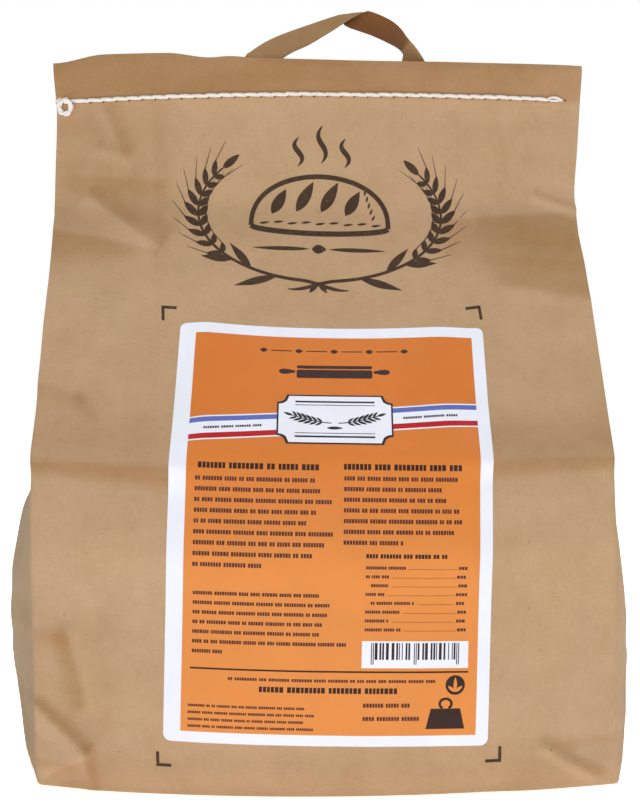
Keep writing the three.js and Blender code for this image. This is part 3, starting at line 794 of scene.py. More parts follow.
def bag_tone(points):
    """Painted shade on the paper, up to 1.3, and painted highlight, down to -1."""
    x, y, z = points.T
    tone = np.zeros(len(x))
    walls = tone[:len(LEVELS) * RING].reshape(-1, RING)
    wall_x, wall_z = (v[:walls.size].reshape(-1, RING) for v in (x, z))
    # Painted shade and painted highlight on the creases' facets.
    for part, ridges in ((FRONT, FRONT_CREASES), (REAR, REAR_CREASES)):
        walls[:, part] += crease_shade(ridges, wall_x[:, part], wall_z[:, part])
    # A darker band above the seam, less dark to the right.
    band = ease(STITCH_HEIGHT - 1, STITCH_HEIGHT + 3, z)
    tone += (1.2 - 0.3 * ease(20, 110, x) + 0.22 * band_waves(x, 1.6 * z)) * band
    # Painted shade on the slope and at the lower and upper left; darker near the bottom.
    slope = 0.1 * ease(200, 172, z) * ease(143, 150, z)
    foot = 0.35 * ease(26, 6, z) * ease(118, 100, np.abs(x))
    lower_left = 0.25 * ease(-82, -96, x) * ease(82, 68, z)
    upper_left = 0.4 * ease(-62, -84, x) * ease(232, 246, z) * (1 - band)
    return tone + (slope + foot + lower_left) * (y < 0) + upper_left


def left_gusset_shade(points):
    """Painted shade: the left gusset is darker and greyer than the rest, fading out upwards."""
    place = np.arange(len(points))
    gusset = (place < RING * len(LEVELS)) & (place % RING > RING - GUSSET_STEPS)
    return gusset * ease(215, 150, points[:, 2])


def paint(piece, **values):
    """Gives a piece's points the attributes that its material reads."""
    for name, value in values.items():
        layer = piece.data.attributes.new(name, "FLOAT", "POINT")
        layer.data.foreach_set("value", np.asarray(value, np.float32))


def make_bag(material):
    points, faces = bag_mesh()
    bag = make_piece("bag_paper", points, faces, material, ["paper_bag"], PAPER_FOLD)
    paint(bag, tone=bag_tone(points), grey=left_gusset_shade(points))


# ---- label


def layer(level):
    """Sheets for a layer of the label's print."""
    return Sheets(on_label, PRINT_LIFT + LAYER_STEP * level)
def end_columns(u0, u1, corner, step):
    """Columns from u0 to u1 that lie close together near the two ends."""
    ends = corner * (1 - np.cos(np.radians(np.linspace(0, 90, 8))))[:-1]
    middle = np.linspace(u0 + corner, u1 - corner, int((u1 - u0) / step))
    return np.concatenate([u0 + ends, middle, (u1 - ends)[::-1]])


def cornered_box(sheets, edges, corner, hollow=False, step=2.4):
    """A sheet whose corners are rounded, or with hollow cut out by quarter circles."""
    u0, u1, v0, v1 = edges
    u = end_columns(u0, u1, corner, step)
    from_end = np.minimum(u - u0, u1 - u)
    if hollow:
        cut = np.sqrt(np.maximum(0, corner**2 - from_end**2))
    else:
        short = np.maximum(0, corner - from_end)
        cut = corner - np.sqrt(np.maximum(0, corner**2 - short**2))
        cut[0] = cut[-1] = corner * 0.9
    t = np.linspace(0, 1, int((v1 - v0) / step) + 2)
    v = mix((v0 + cut)[:, None], (v1 - cut)[:, None], t[None, :])
    sheets.grid(np.repeat(u[:, None], len(t), axis=1), v)


def words(sheets, rng, u0, u1, v, height, letter, slope=0.0):
    """A line of print from u0 to u1 as rows of small plain blocks, all of one height."""
    u = u0
    while u < u1 - letter:
        for _ in range(rng.integers(2, 10)):
            width = letter * rng.uniform(0.6, 0.85)
            if u + width > u1:
                break
            foot = v + slope * (u - u0) - height / 2
            sheets.box(u, u + width, foot, foot + height)
            u += width + letter * 0.2
        u += letter * 0.65


def column(sheets, rng, u0, u1, first, last, lines, height, letter, end_share):
    """Lines of print between two heights, of uneven length, with a short last line."""
    for i, v in enumerate(np.linspace(first, last, lines)):
        share = end_share if i == lines - 1 else rng.uniform(0.80, 1.0)
        words(sheets, rng, u0, mix(u0, u1, share), v, height, letter)


def towards(angle):
    """Unit vector along an angle in degrees."""
    return np.array([math.cos(math.radians(angle)), math.sin(math.radians(angle))])


def heading(vector):
    return math.degrees(math.atan2(vector[1], vector[0]))


def spindle(sheets, base, angle, length, width, raised=0.0, blunt=0.75):
    """A leaf shape that starts at base and points along angle, in degrees."""
    t = np.linspace(0, 1, 9)
    path = np.asarray(base) + np.outer(t * length, towards(angle))
    sheets.stroke(path, np.maximum(0.12, width * np.sin(np.pi * t ** 0.85) ** blunt), raised)


def disc(sheets, u, v, radius):
    t = np.cos(np.radians(np.linspace(180, 0, 15)))
    widths = np.maximum(0.1, 2 * radius * np.sqrt(1 - t**2))
    sheets.stroke(join(u + radius * t, np.full(15, v)), widths)


EAR_SPREAD = 34
BRISTLE_ENDS = (0.42, 0.14)


def ear(sheets, path, first, pairs, grain, width, bristle=0.0, inner=0):
    """An ear of wheat along a path, from its share `first` on: pairs of grains, with bristles. The
    grains on the inner side of a bend, -1 or 1, are shorter."""
    ahead = np.gradient(path, axis=0)
    for i in range(pairs):
        place = mix(first, 1.0, i / pairs) * (len(path) - 1)
        k = int(place)
        at = mix(path[k], path[min(k + 1, len(path) - 1)], place - k)
        size = 1 - 0.25 * abs(2 * i / pairs - 0.9)
        for side in (-1, 1):
            away = heading(ahead[k]) + side * (EAR_SPREAD + 12 * (side == inner))
            long = grain * size * (0.66 if side == inner else 1)
            spindle(sheets, at + 0.5 * towards(away), away, long, width * size, 0.002 * side)
            if bristle:
                tip = at + (0.5 + 0.92 * long) * towards(away)
                lean = heading(ahead[k]) + side * EAR_SPREAD * 0.45
                sheets.stroke([tip, tip + grain * bristle * towards(lean)], BRISTLE_ENDS, 0.004)
    spindle(sheets, path[-1], heading(ahead[-1]), grain, width, 0.006)


STRIPE_SLOPE = 0.082
STRIPE_MIDDLE = 43.35


def stripe(sheets, low, high):
    """A band across the field that rises to the right, between two distances from its middle line."""
    u = np.linspace(FIELD_EDGES[0], FIELD_EDGES[1], 96)[:, None]
    across = np.linspace(low, high, 3 + int((high - low) / 2))[None, :]
    v = STRIPE_MIDDLE + STRIPE_SLOPE * (u - 1.4) + across
    sheets.grid(u + 0 * v, v)


def make_label():
    white = coated_finish("label_white", (0.845, 0.87, 0.965))
    # The orange darkens towards the label's top: painted shade.
    orange = coated_finish("label_orange", (0.755, 0.267, 0.060), (0.67, 0.188, 0.024))
    sheet = Sheets(on_label, LABEL_LIFT, LABEL_THICKNESS)
    cornered_box(sheet, LABEL_EDGES, LABEL_CORNER, step=1.3)
    sheet.piece("label_sheet", white, ["label"])
    field = Sheets(on_label, FIELD_LIFT)
    field.box(*FIELD_EDGES, 1.3)
    field.piece("label_field", orange)
    make_stripes(white)
    make_plaque(white)
    make_label_print(white, orange)


def make_stripes(white):
    blue = coated_finish("label_blue", (0.11, 0.15, 0.47))
    red = coated_finish("label_red", (0.47, 0.003, 0.005))
    for name, finish, level, low, high in (
        ("stripe_white", white, 0, -6.3, 6.3),
        ("stripe_blue", blue, 1, 3.1, 5.6),
        ("stripe_red", red, 1, -5.6, -2.9),
    ):
        band = layer(level)
        stripe(band, low, high)
        band.piece(name, finish)


PLAQUE_MIDDLE = (1.8, 44.7)
PLAQUE_HALF = (24.8, 13.2)


def make_plaque(white):
    """A plaque with hollow corners over the stripes, with two ears of wheat between fine rules."""
    black = coated_finish("label_black", (0.018, 0.014, 0.016))
    (u, v), (a, b) = PLAQUE_MIDDLE, PLAQUE_HALF
    for name, finish, level, rim, corner in (
        ("plaque_rim", black, 2, 0.0, 4.2), ("plaque_plate", white, 3, 0.75, 4.4),
    ):
        plate = layer(level)
        edges = (u - a + rim, u + a - rim, v - b + rim, v + b - rim)
        cornered_box(plate, edges, corner, hollow=True, step=2.0)
        plate.piece(name, finish)
    mark = layer(4)
    t = np.linspace(0, 1, 15)
    for side in (-1, 1):
        path = join(u + side * (1.5 + 16.5 * t), v - 2.2 + 4.0 * t**1.6)
        mark.stroke(path, 0.5)
        ear(mark, path, 0.22, 6, 4.2, 1.35)
        for height, width in ((9.4, 0.9), (-9.4, 0.9), (7.6, 0.35), (-7.6, 0.35)):
            mark.box(u, u + side * 17.0, v + height - width / 2, v + height + width / 2)
    spindle(mark, (u - 3.4, v - 4.8), 0, 6.8, 1.6, 0.01)
    mark.piece("plaque_print", black)


def barcode(sheets, rng, u0, u1, v0, v1):
    """Upright bars one to three units wide; pairs at both ends and in the middle are longer."""
    bar = (u1 - u0) / 95
    guards = (u0, (u0 + u1) / 2 - 1.5 * bar, u1 - 3 * bar)
    for u in guards:
        for k in (0, 2):
            sheets.box(u + k * bar, u + (k + 1) * bar, v0, v1)
    for start, end in zip(guards[:-1], guards[1:]):
        u = start + 4 * bar
        while u < end - 3 * bar:
            width = bar * rng.integers(1, 4)
            sheets.box(u, u + width, v0 + 2.0, v1)
            u += width + bar * rng.integers(1, 4)


def rolling_pin(sheets, u, v):
    """A rolling pin with a line of light along its roller."""
    for low, high in ((-3.5, 1.1), (1.8, 3.5)):
        cornered_box(sheets, (u - 16.5, u + 16.5, v + low, v + high), 0.8, step=2.0)
    for side in (-1, 1):
        path = [(u + side * s, v) for s in (17.2, 18.4, 20.0, 22.0, 23.4, 24.2)]
        sheets.stroke(path, (1.3, 1.6, 2.5, 3.0, 2.4, 0.8))


def title_rule(sheets, u, v):
    """Small diamonds with thin rules between them."""
    for k in (-2, -1, 0, 1, 2):
        spindle(sheets, (u + 15.5 * k - 1.7, v), 0, 3.4, 2.3, 0.0, 1.0)
    for k in (-1.5, -0.5, 0.5, 1.5):
        sheets.box(u + 15.5 * k - 4.6, u + 15.5 * k + 4.6, v - 0.25, v + 0.25)


# Print: left and right end, height of the first and the last line, number of lines, height of the
# print, width of a letter and length of the last line as a share.
HEADINGS = [
    (-55.3, -4, 20.8, 20.8, 1, 2.5, 1.9, 1),
    (5.6, 56, 21.3, 21.3, 1, 2.5, 1.9, 1),
    (15.3, 50, -15.6, -15.6, 1, 1.7, 1.35, 1),
    (-27.8, 32.2, -71.6, -71.6, 1, 2.3, 1.9, 1),
]
FINE_PRINT = [
    (-56.3, 1.9, 15.3, -20.4, 9, 1.75, 1.25, 0.5),
    (5.8, 57.4, 16.4, -10.2, 7, 1.75, 1.25, 0.5),
    (-55.9, 9.7, -32.4, -56.6, 7, 1.45, 1.1, 0.2),
    (-40.7, 45.6, -67.6, -67.6, 1, 1.2, 1.15, 1),
    (-57.1, 1.7, -79.3, -88.0, 4, 1.05, 0.85, 0.9),
    (15.3, 37, -77.6, -77.6, 1, 1.7, 1.3, 1),
    (15.3, 40, -83.2, -83.2, 1, 1.7, 1.3, 1),
]


def make_label_print(white, orange):
    dark = coated_finish("label_dark", (0.036, 0.013, 0.010))
    plum = coated_finish("label_plum", (0.095, 0.024, 0.018))
    rng = np.random.default_rng(5)

    bold = layer(0)
    title_rule(bold, 1.5, 82.6)
    rolling_pin(bold, 1.6, 71.0)
    for row in HEADINGS:
        column(bold, rng, *row)
    bold.box(-56.6, 59.1, -64.1, -63.4)
    pictogram(bold, 49.8, -81.2)
    disc(bold, 53.7, -69.2, 4.1)
    bold.piece("label_bold_print", dark)
    sprout = layer(1)
    spindle(sprout, (53.7, -71.6), 90, 5.6, 1.5, 0.002)
    for angle in (142, 38):
        spindle(sprout, (53.7, -72.0), angle, 3.9, 1.4)
    sprout.piece("label_sprout", orange)

    fine = layer(0)
    for row in FINE_PRINT:
        column(fine, rng, *row)
    food_table(fine, rng)
    fine.piece("label_fine_print", plum)

    script = layer(2)
    for u0, u1 in ((-54, -28.5), (31, 55)):
        middle = STRIPE_MIDDLE + STRIPE_SLOPE * (u0 - 1.4)
        words(script, rng, u0, u1, middle, 1.1, 1.1, STRIPE_SLOPE)
    script.piece("stripe_print", dark)

    panel = layer(0)
    panel.box(14.3, 58.9, -62.1, -50.9)
    panel.piece("barcode_panel", white)
    bars = layer(1)
    barcode(bars, rng, 18.1, 55.0, -60.6, -51.6)
    bars.piece("barcode_bars", dark)


def food_table(sheets, rng):
    """Eight lines with a name, a dotted leader and a value."""
    for i, v in enumerate(np.linspace(-20.4, -46.2, 8)):
        indent = 2.2 if i in (2, 4) else 0.0
        name_end = 15.3 + indent + rng.uniform(8, 19)
        words(sheets, rng, 15.3 + indent, name_end, v, 1.25, 1.0)
        value_start = 57.8 - rng.uniform(3.6, 4.8)
        words(sheets, rng, value_start, 57.8, v, 1.25, 1.4)
        for u in np.arange(name_end + 0.9, value_start - 0.8, 0.85):
            sheets.box(u, u + 0.33, v - 0.62, v - 0.29)


def pictogram(sheets, u, v):
    """A kitchen weight: a tapered block with a ring on top."""
    t = np.linspace(0, 1, 8)[:, None]
    s = np.linspace(-1, 1, 8)[None, :]
    sheets.grid(u + mix(8.2, 6.2, t) * s, v - 6.4 + 8.6 * t + 0.0 * s)
    angles = np.radians(np.linspace(-60, 240, 22))
    sheets.stroke(join(u + 2.5 * np.cos(angles), v + 4.2 + 2.1 * np.sin(angles)), 1.1, 0.004)


# ---- print on the bag


def wreath_half(ink, side):
    """One stalk from under the wreath's foot round its side, with an ear and three leaves."""
    angles = np.radians(np.linspace(-76, -216, 64))
    path = join(-57 * side * np.cos(angles), 33.5 * np.sin(angles))
    path[:, 1] -= 2.5 + 5 * ease(-98, -76, np.degrees(angles))
    ink.stroke(path, np.minimum(np.linspace(0.4, 26, 64), np.linspace(1.7, 0.8, 64)), 0.001 * side)
    ear(ink, path, 0.46, 9, 9.8, 3.4, 1.05, side)
    ahead = np.gradient(path, axis=0)
    for place, lean, length in ((15, -side * 26, 20), (21, side * 28, 16), (26, -side * 24, 15)):
        spindle(ink, path[place], heading(ahead[place]) + lean, length, 3.6, 0.004, 1.1)


def loaf(ink):
    """A round loaf with four cuts in its crust, drawn with strokes."""
    t = np.linspace(0, np.pi, 41)
    ink.stroke(join(32 * np.cos(t), -9.5 + 24 * np.sin(t) ** 0.8), 2.2)
    ink.stroke(join(np.linspace(-32, 32, 41), -9.5 - 3.4 * np.sin(t) ** 0.5), 2.6, 0.003)
    for k, u in enumerate((-19, -7.5, 4, 15.5)):
        base = (u - 3.5, -3.6 + 1.4 * (k in (1, 2)))
        spindle(ink, base, 62, 13.5 + 2.6 * (k in (1, 2)), 5.4, 0.0, 0.9)
    for k in range(9):
        spindle(ink, (6.5 * k - 28, -8.4 + 0.6 * (k % 2)), 8, 4.6, 1.1, 0.006)
    for k in range(5):
        spindle(ink, (24.4 - 0.9 * k, -5.6 + 3.0 * k), 64 + 6 * k, 3.0, 1.0, 0.006)


def make_emblem(ink_material):
    """A wreath of two ears of wheat round a steaming loaf."""
    ink = Sheets(on_emblem, INK_LIFT)
    for side in (-1, 1):
        wreath_half(ink, side)
    loaf(ink)
    t = np.linspace(0, 1, 25)
    for u, height, length in ((-11, 19, 13), (0, 20.5, 17), (11, 19, 13)):
        steam = join(u + 1.9 * np.sin(2 * np.pi * t), height + length * t)
        ink.stroke(steam, np.maximum(0.3, 2.4 * np.sin(np.pi * t) ** 0.7))
    for side, angle in ((-1, 180), (1, 0)):
        spindle(ink, (side * 4.6, -20.5), angle, 26, 2.0)
    spindle(ink, (-3.4, -20.5), 0, 6.8, 4.4, 0.0, 1.0)
    for tilt in (-38, 38):
        spindle(ink, (0, -36.4), 270 + tilt, 6.5, 2.4, 0.008)
    ink.piece("emblem_print", ink_material)


CORNER_MARKS = [  # corner (x, z), then the ends of its upright and level arm, from the corner
    ((-71.8, 207.9), (0.5, -6.9), (6.9, -0.5)),
    ((71.5, 208.2), (0.6, -6.6), (-6.9, -0.9)),
    ((-69.7, 13.6), (-0.1, 6.3), (6.3, -0.1)),
    ((73.5, 14.5), (0.1, 6.6), (-6.9, 0.0)),
]
MARK_WIDTH = 1.3


def make_corner_marks(ink_material):
    marks = Sheets(on_front, INK_LIFT)
    t = np.linspace(0, 1, 5)[:, None]
    for corner, *arms in CORNER_MARKS:
        for arm, raised in zip(np.array(arms), (0.0, 0.003)):
            start = np.array(corner) - unit(arm) * MARK_WIDTH / 2
            marks.stroke(start + arm * t, MARK_WIDTH, raised)
    marks.piece("corner_marks", ink_material)


# ---- seam thread


def seam_height(x):
    return STITCH_HEIGHT + level_error(x, STITCH_HEIGHT)


def off_wall(x, z, out, rear=False):
    """Points `out` off the front or the rear wall, at x and real height z near the seam."""
    x, z = np.broadcast_arrays(np.asarray(x, float), np.asarray(z, float))
    level = z - level_error(x, STITCH_HEIGHT)
    y = rear_y(x, level) + out if rear else front_y(x, level) - out
    return join(x, y, z)


PLIES = 3
PLY_PITCH = 3.4  # length over which a ply goes half round its yarn
PLY_DEPTH = 0.17
YARN_SIDES = 15


class Yarns:
    """Twisted three-ply yarns as closed tubes, gathered into one mesh."""

    def __init__(self):
        self.points, self.faces, self.count = [], [], 0

    def add(self, path, radius, phase=0.0):
        along = unit(np.gradient(path, axis=0))
        aside = np.zeros_like(path)
        aside[0] = unit(np.cross(along[0], (0.31, 0.17, 0.93)))
        for i in range(1, len(path)):
            aside[i] = unit(aside[i - 1] - along[i] * np.dot(aside[i - 1], along[i]))
        over = np.cross(along, aside)
        angle = np.linspace(0, 2 * np.pi, YARN_SIDES, endpoint=False)
        twist = angle - phase - np.pi * travelled(path)[:, None] / PLY_PITCH
        lobe = np.abs(np.cos(PLIES * twist / 2))
        r = np.reshape(radius, (-1, 1)) * (1 - PLY_DEPTH + PLY_DEPTH * lobe)
        ring = path[:, None] + aside[:, None] * (r * np.cos(angle))[..., None]
        ring = ring + over[:, None] * (r * np.sin(angle))[..., None]
        ids = self.count + np.arange(lobe.size).reshape(lobe.shape)
        self.points.append(ring.reshape(-1, 3))
        self.faces += tube_faces(ids)
        self.count += ids.size


def lens(length_share, thin, thick):
    """Radius along a stitch: thin ends and a thick middle."""
    return thin + (thick - thin) * np.sin(np.pi * length_share) ** 0.75


def front_stitch(yarns, right, rng):
    """One stitch from its right end, which comes out from under its neighbour, to its left end."""
    t = np.linspace(0, 1, 15)
    x = right - (STITCH_PITCH + 1.3) * t
    z = seam_height(x) + 0.30 * np.sin(np.pi * (t - 0.5)) + rng.normal(0, 0.07)
    out = 0.58 + 0.55 * np.sin(np.pi * t ** 0.8) + 0.25 * ease(0.75, 1, t)
    yarns.add(off_wall(x, z, out), lens(t, 0.45, 1.0 + rng.normal(0, 0.03)), rng.uniform(0, 6))


def eye(yarns):
    """The last stitch at the right end opens into two strands."""
    t = np.linspace(0, 1, 21)
    x = STITCH_END - 7.6 * (1 - t)
    for bow, phase in ((0.85, 0.0), (-0.6, 2.0)):
        z = seam_height(x) + bow * np.sin(np.pi * t**0.75) - 0.2 * t
        out = 0.62 + 0.5 * np.sin(np.pi * t)
        yarns.add(off_wall(x, z, out), lens(t, 0.36, 0.62), phase)


def curl(yarns):
    """The chain's loose end lies in a thick ring of two strands at the left end, with a third over
    them, and a lead joins it to the stitches."""
    middle_x, middle_z = -120.4, seam_height(-120) - 2.9
    t = np.linspace(0, 1, 150)
    angle = np.radians(mix(70, 452, t))
    for strand in (0, 1):
        twist = 2 * np.pi * (2.6 * t + strand / 2)
        r = mix(3.1, 2.6, t) + 0.55 * np.cos(twist)
        x = middle_x + r * np.cos(angle)
        z = middle_z + 0.3 + r * np.sin(angle) * 1.04
        out = 0.95 + 1.0 * ease(0.6, 0.95, t) + 0.45 * np.sin(twist)
        yarns.add(off_wall(np.maximum(x, -124.4), z, out), 0.80, strand)
    t = np.linspace(0, 1, 40)
    turn = np.radians(mix(150, -45, t))
    r = mix(2.5, 3.0, t)
    x, z = middle_x + 0.2 + r * np.cos(turn), middle_z + 0.6 + r * np.sin(turn)
    yarns.add(off_wall(x, z, 1.9 + 0.5 * np.sin(np.pi * t)), lens(0.1 + 0.8 * t, 0.45, 0.85), 2)
    t = np.linspace(0, 1, 16)
    x = mix(-117.6, STITCH_START + 0.8, t)
    z = seam_height(x) + 0.2 * np.cos(4 * t)
    yarns.add(off_wall(x, z, 0.62 + 0.25 * np.sin(np.pi * t)), lens(0.25 + 0.5 * t, 0.4, 0.8))


def edge_turn(yarns):
    """Two strands from the ring round the left edge to the rear seam."""
    edge_x = float(panel_edge(-1, STITCH_HEIGHT))
    front, rear = (float(wall(edge_x, STITCH_HEIGHT)) for wall in (front_y, rear_y))
    t = np.linspace(0, 1, 40)
    angle = np.pi * (t - 0.5)
    x = edge_x + 2.6 - 2.9 * np.cos(angle)
    y = (front + rear) / 2 + ((rear - front) / 2 + 0.95) * np.sin(angle)
    for strand, lift in enumerate((0.55, -0.55)):
        z = float(seam_height(edge_x)) + 0.9 - 0.7 * t + lift * np.cos(6 * t)
        yarns.add(join(x, y, z), 0.55, strand)


def rear_lift(x):
    """The rear stitches pass over the strap's two ends."""
    over = [1 - ease(11, 17, np.abs(x - foot)) for foot in STRAP_FEET]
    return np.maximum(*over) * (STRAP_THICKNESS + STRAP_GAP + 0.1)


def rear_stitch(yarns, left, rng):
    """One loop of the chain on the rear: two strands that part and meet again."""
    t = np.linspace(0, 1, 13)
    x = left + (STITCH_PITCH + 1.0) * t
    for side in (-1, 1):
        z = seam_height(x) + side * 0.52 * np.sin(np.pi * t**0.8) + rng.normal(0, 0.04)
        out = 0.62 + 0.35 * np.sin(np.pi * t) + rear_lift(x)
        yarns.add(off_wall(x, z, out, rear=True), lens(t, 0.34, 0.58), rng.uniform(0, 6))


def make_thread(material):
    rng = np.random.default_rng(8)
    yarns = Yarns()
    right = STITCH_END - 7.0
    while right > STITCH_START + 2:
        front_stitch(yarns, right, rng)
        right -= STITCH_PITCH
    eye(yarns)
    curl(yarns)
    edge_turn(yarns)
    for left in np.arange(panel_edge(-1, STITCH_HEIGHT) + 2, STITCH_END - 5, STITCH_PITCH):
        rear_stitch(yarns, left, rng)
    points = np.concatenate(yarns.points)
    make_piece("thread", points, yarns.faces, material, ["seam_thread"])


def make_holes_and_shadows(material):
    """Dark marks just under the stitches' ends: needle holes and painted shadow of the thread."""
    hole_marks = Sheets(on_front, HOLE_LIFT)
    t = np.linspace(-1, 1, 9)
    widths = np.maximum(0.1, 0.95 * np.sqrt(1 - np.clip(t, -0.99, 0.99) ** 2))
    for x in [*np.arange(STITCH_END - 7.0, STITCH_START, -STITCH_PITCH), STITCH_END + 1.3]:
        wide, drop = (0.75, 0.1) if x > STITCH_END else (0.62, 0.75)
        hole_marks.stroke(join(x + wide * t, np.full(9, STITCH_HEIGHT - drop)), widths)
    hole_marks.piece("needle_holes", material)


# ---- carry strap


def strap_foot(x, z, slant, turn):
    """On the rear of the top fold, leaning by `slant` and turned away from it by `turn` radians."""
    rise = math.tan(slant)
    slope = float(rear_y(x - 1, z + rise) - rear_y(x, z))
    y = float(rear_y(x, z)) + STRAP_GAP + STRAP_THICKNESS / 2 + math.sin(turn) * STRAP_WIDTH / 2
    across = (-math.cos(turn), slope + math.sin(turn), rise)
    return (x, y, z + float(level_error(x, z))), across, (0, 0)


def strap_stations():
    """Middle of the strap, direction across it, and its lengthwise crease: where across it the crease
    lies, -1 to 1, and how far it stands out."""
    return [
        strap_foot(-40, 297.5, 0.45, 0),
        strap_foot(-36.8, 305, 0.45, 0),
        strap_foot(-32.5, 314, 0.45, 0),
        strap_foot(-28.4, 322, 0.4, 0.02),
        ((-25.2, -13.4, 327), (-16, 1, 4), (0, 0)),
        ((-18.8, -11, 331.8), (-13.6, 3.6, 5.2), (0, 0)),
        ((-9.7, -9, 336.5), (-9, 9, 9), (0, 0)),
        ((-2.1, -7.5, 340.3), (-5.2, 11, 9.4), (0, 0.2)),
        ((5, -6.5, 343.8), (-2.8, 12, 8.8), (0, 0.4)),
        ((10, -6, 346.3), (-1.6, 13, 7.9), (0, 0.5)),
        ((13.4, -5.6, 347.8), (-3, 13.4, 5.6), (0, 0.6)),
        ((15.8, -5.5, 348.3), (-7, 12.8, 1.6), (0, 0.7)),
        ((16.8, -6, 347), (-11.4, 9.8, -4), (0, 0.5)),
        ((19.4, -6.3, 345.8), (-10.8, 9.8, -4.8), (0, 0)),
        ((23.6, -6.7, 344.2), (-9.2, 10.8, -4.4), (0, -0.3)),
        ((29, -7.4, 341.8), (-7.2, 12, -3.9), (0, -0.4)),
        ((35, -8.2, 338.2), (-4, 13.6, -4), (-0.5, -0.6)),
        ((38.8, -8.6, 335), (-2.6, 14, -2.6), (-0.5, -1.2)),
        ((41.4, -8.8, 331.3), (-3, 14, -1), (0, -1.6)),
        ((43.2, -8.6, 327.2), (-7, 12.6, 0.6), (0.5, -1)),
        strap_foot(44.4, 322, -0.2, 0.86),
        strap_foot(45.5, 316.5, -0.16, 0.44),
        strap_foot(46.3, 311.5, -0.1, 0.1),
        strap_foot(47, 304.5, -0.1, 0),
        strap_foot(47.8, 297.5, -0.1, 0),
    ]


def catmull(points, steps):
    """A centripetal Catmull-Rom curve through points, with `steps` samples to a stretch."""
    p = np.asarray(points, float)
    p = np.concatenate([[2 * p[0] - p[1]], p, [2 * p[-1] - p[-2]]])
    curve = []
    for i in range(1, len(p) - 2):
        a, b, c, d = p[i - 1:i + 3]
        t0 = 0.0
        t1 = t0 + np.linalg.norm(b - a) ** 0.5
        t2 = t1 + np.linalg.norm(c - b) ** 0.5
        t3 = t2 + np.linalg.norm(d - c) ** 0.5
        for t in np.linspace(t1, t2, steps, endpoint=False):
            ab = mix(a, b, (t - t0) / (t1 - t0))
            bc = mix(b, c, (t - t1) / (t2 - t1))
            cd = mix(c, d, (t - t2) / (t3 - t2))
            abc = mix(ab, bc, (t - t0) / (t2 - t0))
            bcd = mix(bc, cd, (t - t1) / (t3 - t1))
            curve.append(mix(abc, bcd, (t - t1) / (t2 - t1)))
    return np.array([*curve, p[-2]])


STRAP_STEPS = 8
STRAP_COLUMNS = 19
STRAP_LAP = 0.42  # where across the strap its folded-over edge ends
STRAP_TWIST = 17.6  # station up to which the strap's dark underside is painted


def strap_face(s, run, outer):
    """Relief of the folded strap's faces: the lapped edge and small wrinkles."""
    lap = 0.22 * ease(STRAP_LAP + 0.03, STRAP_LAP - 0.03, s) if outer else 0.0
    wrinkle = 0.07 * np.sin(run / 3.1 + 2.2 * s) * np.sin(run / 7.7 + 1.3)
    wrinkle = wrinkle + 0.05 * np.sin(run / 1.7 - 3.1 * s + np.sin(run / 11))
    return lap + wrinkle


def strap_course():
    """At each of the strap's rings: its middle, the direction across, the crease and the station."""
    middles, across, folds = zip(*strap_stations())
    middle = catmull(middles, STRAP_STEPS)
    place = np.arange(len(middle)) / STRAP_STEPS

    def at_rings(rows):
        rows = np.array(rows, float)
        return join(*(np.interp(place, np.arange(len(rows)), part) for part in rows.T))

    lane = at_rings(unit(np.array(across, float)))
    for _ in range(3):
        lane[1:-1] = lane[1:-1] / 2 + (lane[:-2] + lane[2:]) / 4
    return middle, unit(lane), at_rings(folds), place


def make_strap(material):
    middle, lane, folds, place = strap_course()
    facing = unit(np.cross(unit(np.gradient(middle, axis=0)), lane))
    run = travelled(middle)[:, None]
    s = np.linspace(-1, 1, STRAP_COLUMNS)
    fold_at, fold_height = folds[:, :1], folds[:, 1:]
    folded = fold_height * (1 - np.abs(s - fold_at) / (1 + np.abs(fold_at)))
    edge = np.sqrt(np.maximum(0.0, 1 - np.abs(s) ** 14))
    half = STRAP_THICKNESS / 2 * np.maximum(0.35, edge)
    sides = []
    for side in (-1, 1):
        off = folded + side * (half + strap_face(s, run, side > 0) * edge * 0.9 - 0.06)
        wide = s * (STRAP_WIDTH / 2) * (1 + 0.012 * np.sin(run / 6.1 + side))
        face = middle[:, None] + lane[:, None] * wide[..., None] + facing[:, None] * off[..., None]
        sides.append(face[:, ::-side])
    rings = np.concatenate(sides, axis=1)
    ids = np.arange(rings[..., 0].size).reshape(rings.shape[:2])
    points = rings.reshape(-1, 3)
    strap = make_piece("strap", points, tube_faces(ids), material, ["carry_strap"])
    under = np.arange(rings.shape[1]) < STRAP_COLUMNS
    # Painted shade on the strap's underside, up to STRAP_TWIST.
    tone = 1.3 * ease(STRAP_TWIST + 0.3, STRAP_TWIST - 0.3, place)[:, None] * under
    paint(strap, tone=tone.ravel())


# ---- lights and floor

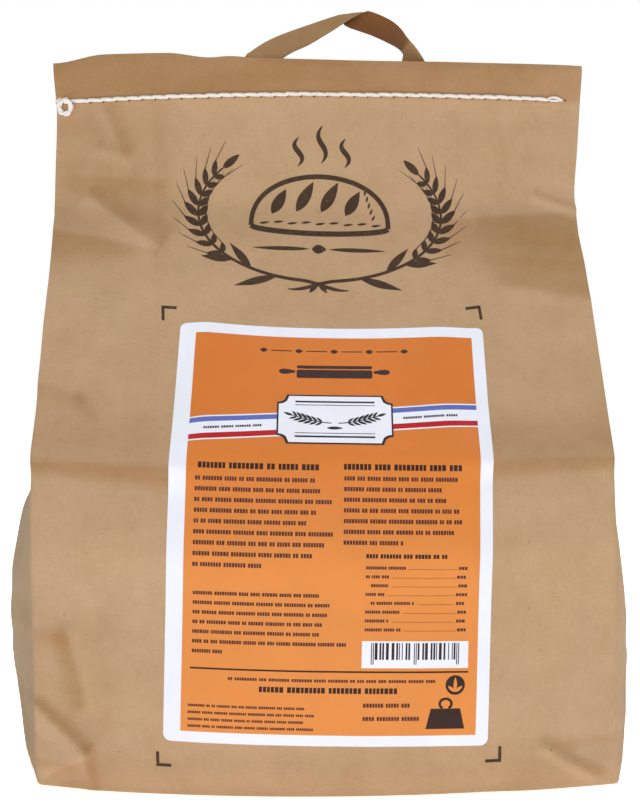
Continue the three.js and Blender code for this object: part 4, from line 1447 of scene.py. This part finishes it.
WHITE = (1.0, 1.0, 1.0, 1.0)
FLOOR_HALF = 6
FLOOR_GLOW = 0.72
SURROUND = 0.33
LIGHTS = [  # name, place, aim, size, power
    ("key", (-0.1, -2.2, 0.65), (0, 0, 0.16), 0.7, 10.1),
    ("top", (0.1, -0.1, 2.0), (0, 0, 0.1), 1.0, 15),
    ("rear", (0.6, 2.2, 1.1), (0, 0, 0.16), 1.2, 10),
]


def make_floor():
    s = Shader("pale_floor", 0.9, 0.1)
    s.color(s.blend(s.noise(60, 2.0), (0.91, 0.91, 0.91), (0.93, 0.93, 0.93)))
    s.surface["Emission Color"].default_value = WHITE
    s.surface["Emission Strength"].default_value = FLOOR_GLOW
    mesh = bpy.data.meshes.new("floor")
    corners = [(FLOOR_HALF * x, FLOOR_HALF * y, 0) for x, y in ((-1, -1), (1, -1), (1, 1), (-1, 1))]
    mesh.from_pydata(corners, [], [(0, 1, 2, 3)])
    mesh.materials.append(s.material)
    floor = bpy.data.objects.new("floor", mesh)
    bpy.context.scene.collection.objects.link(floor)


def make_lights():
    """A soft frontal key, weaker lights above and behind, and an even grey surround that the camera
    sees as a white backdrop."""
    world = bpy.data.worlds.new("studio")
    bpy.context.scene.world = world
    world.use_nodes = True
    tree = world.node_tree
    surround, backdrop = tree.nodes["Background"], tree.nodes.new("ShaderNodeBackground")
    for node, strength in ((surround, SURROUND), (backdrop, 1.0)):
        node.inputs["Color"].default_value = WHITE
        node.inputs["Strength"].default_value = strength
    both = tree.nodes.new("ShaderNodeMixShader")
    seen = tree.nodes.new("ShaderNodeLightPath").outputs["Is Camera Ray"]
    for k, source in enumerate((seen, surround.outputs[0], backdrop.outputs[0])):
        tree.links.new(source, both.inputs[k])
    tree.links.new(both.outputs[0], tree.nodes["World Output"].inputs["Surface"])
    for name, place, aim, size, power in LIGHTS:
        light = bpy.data.lights.new(name, "AREA")
        light.shape = "DISK"
        light.size = size
        light.energy = power
        stand(name, light, place, aim)
    bpy.context.scene.view_settings.view_transform = "Standard"


# ---- the whole

make_camera()
kraft = kraft_finish("kraft_paper", *KRAFT)
strap_kraft = kraft_finish("strap_paper", *STRAP_KRAFT)
ink = ink_finish()
make_bag(kraft)
make_label()
make_emblem(ink)
make_corner_marks(ink)
make_holes_and_shadows(hole_and_shadow_finish())
make_thread(thread_finish())
make_strap(strap_kraft)
make_floor()
make_lights()
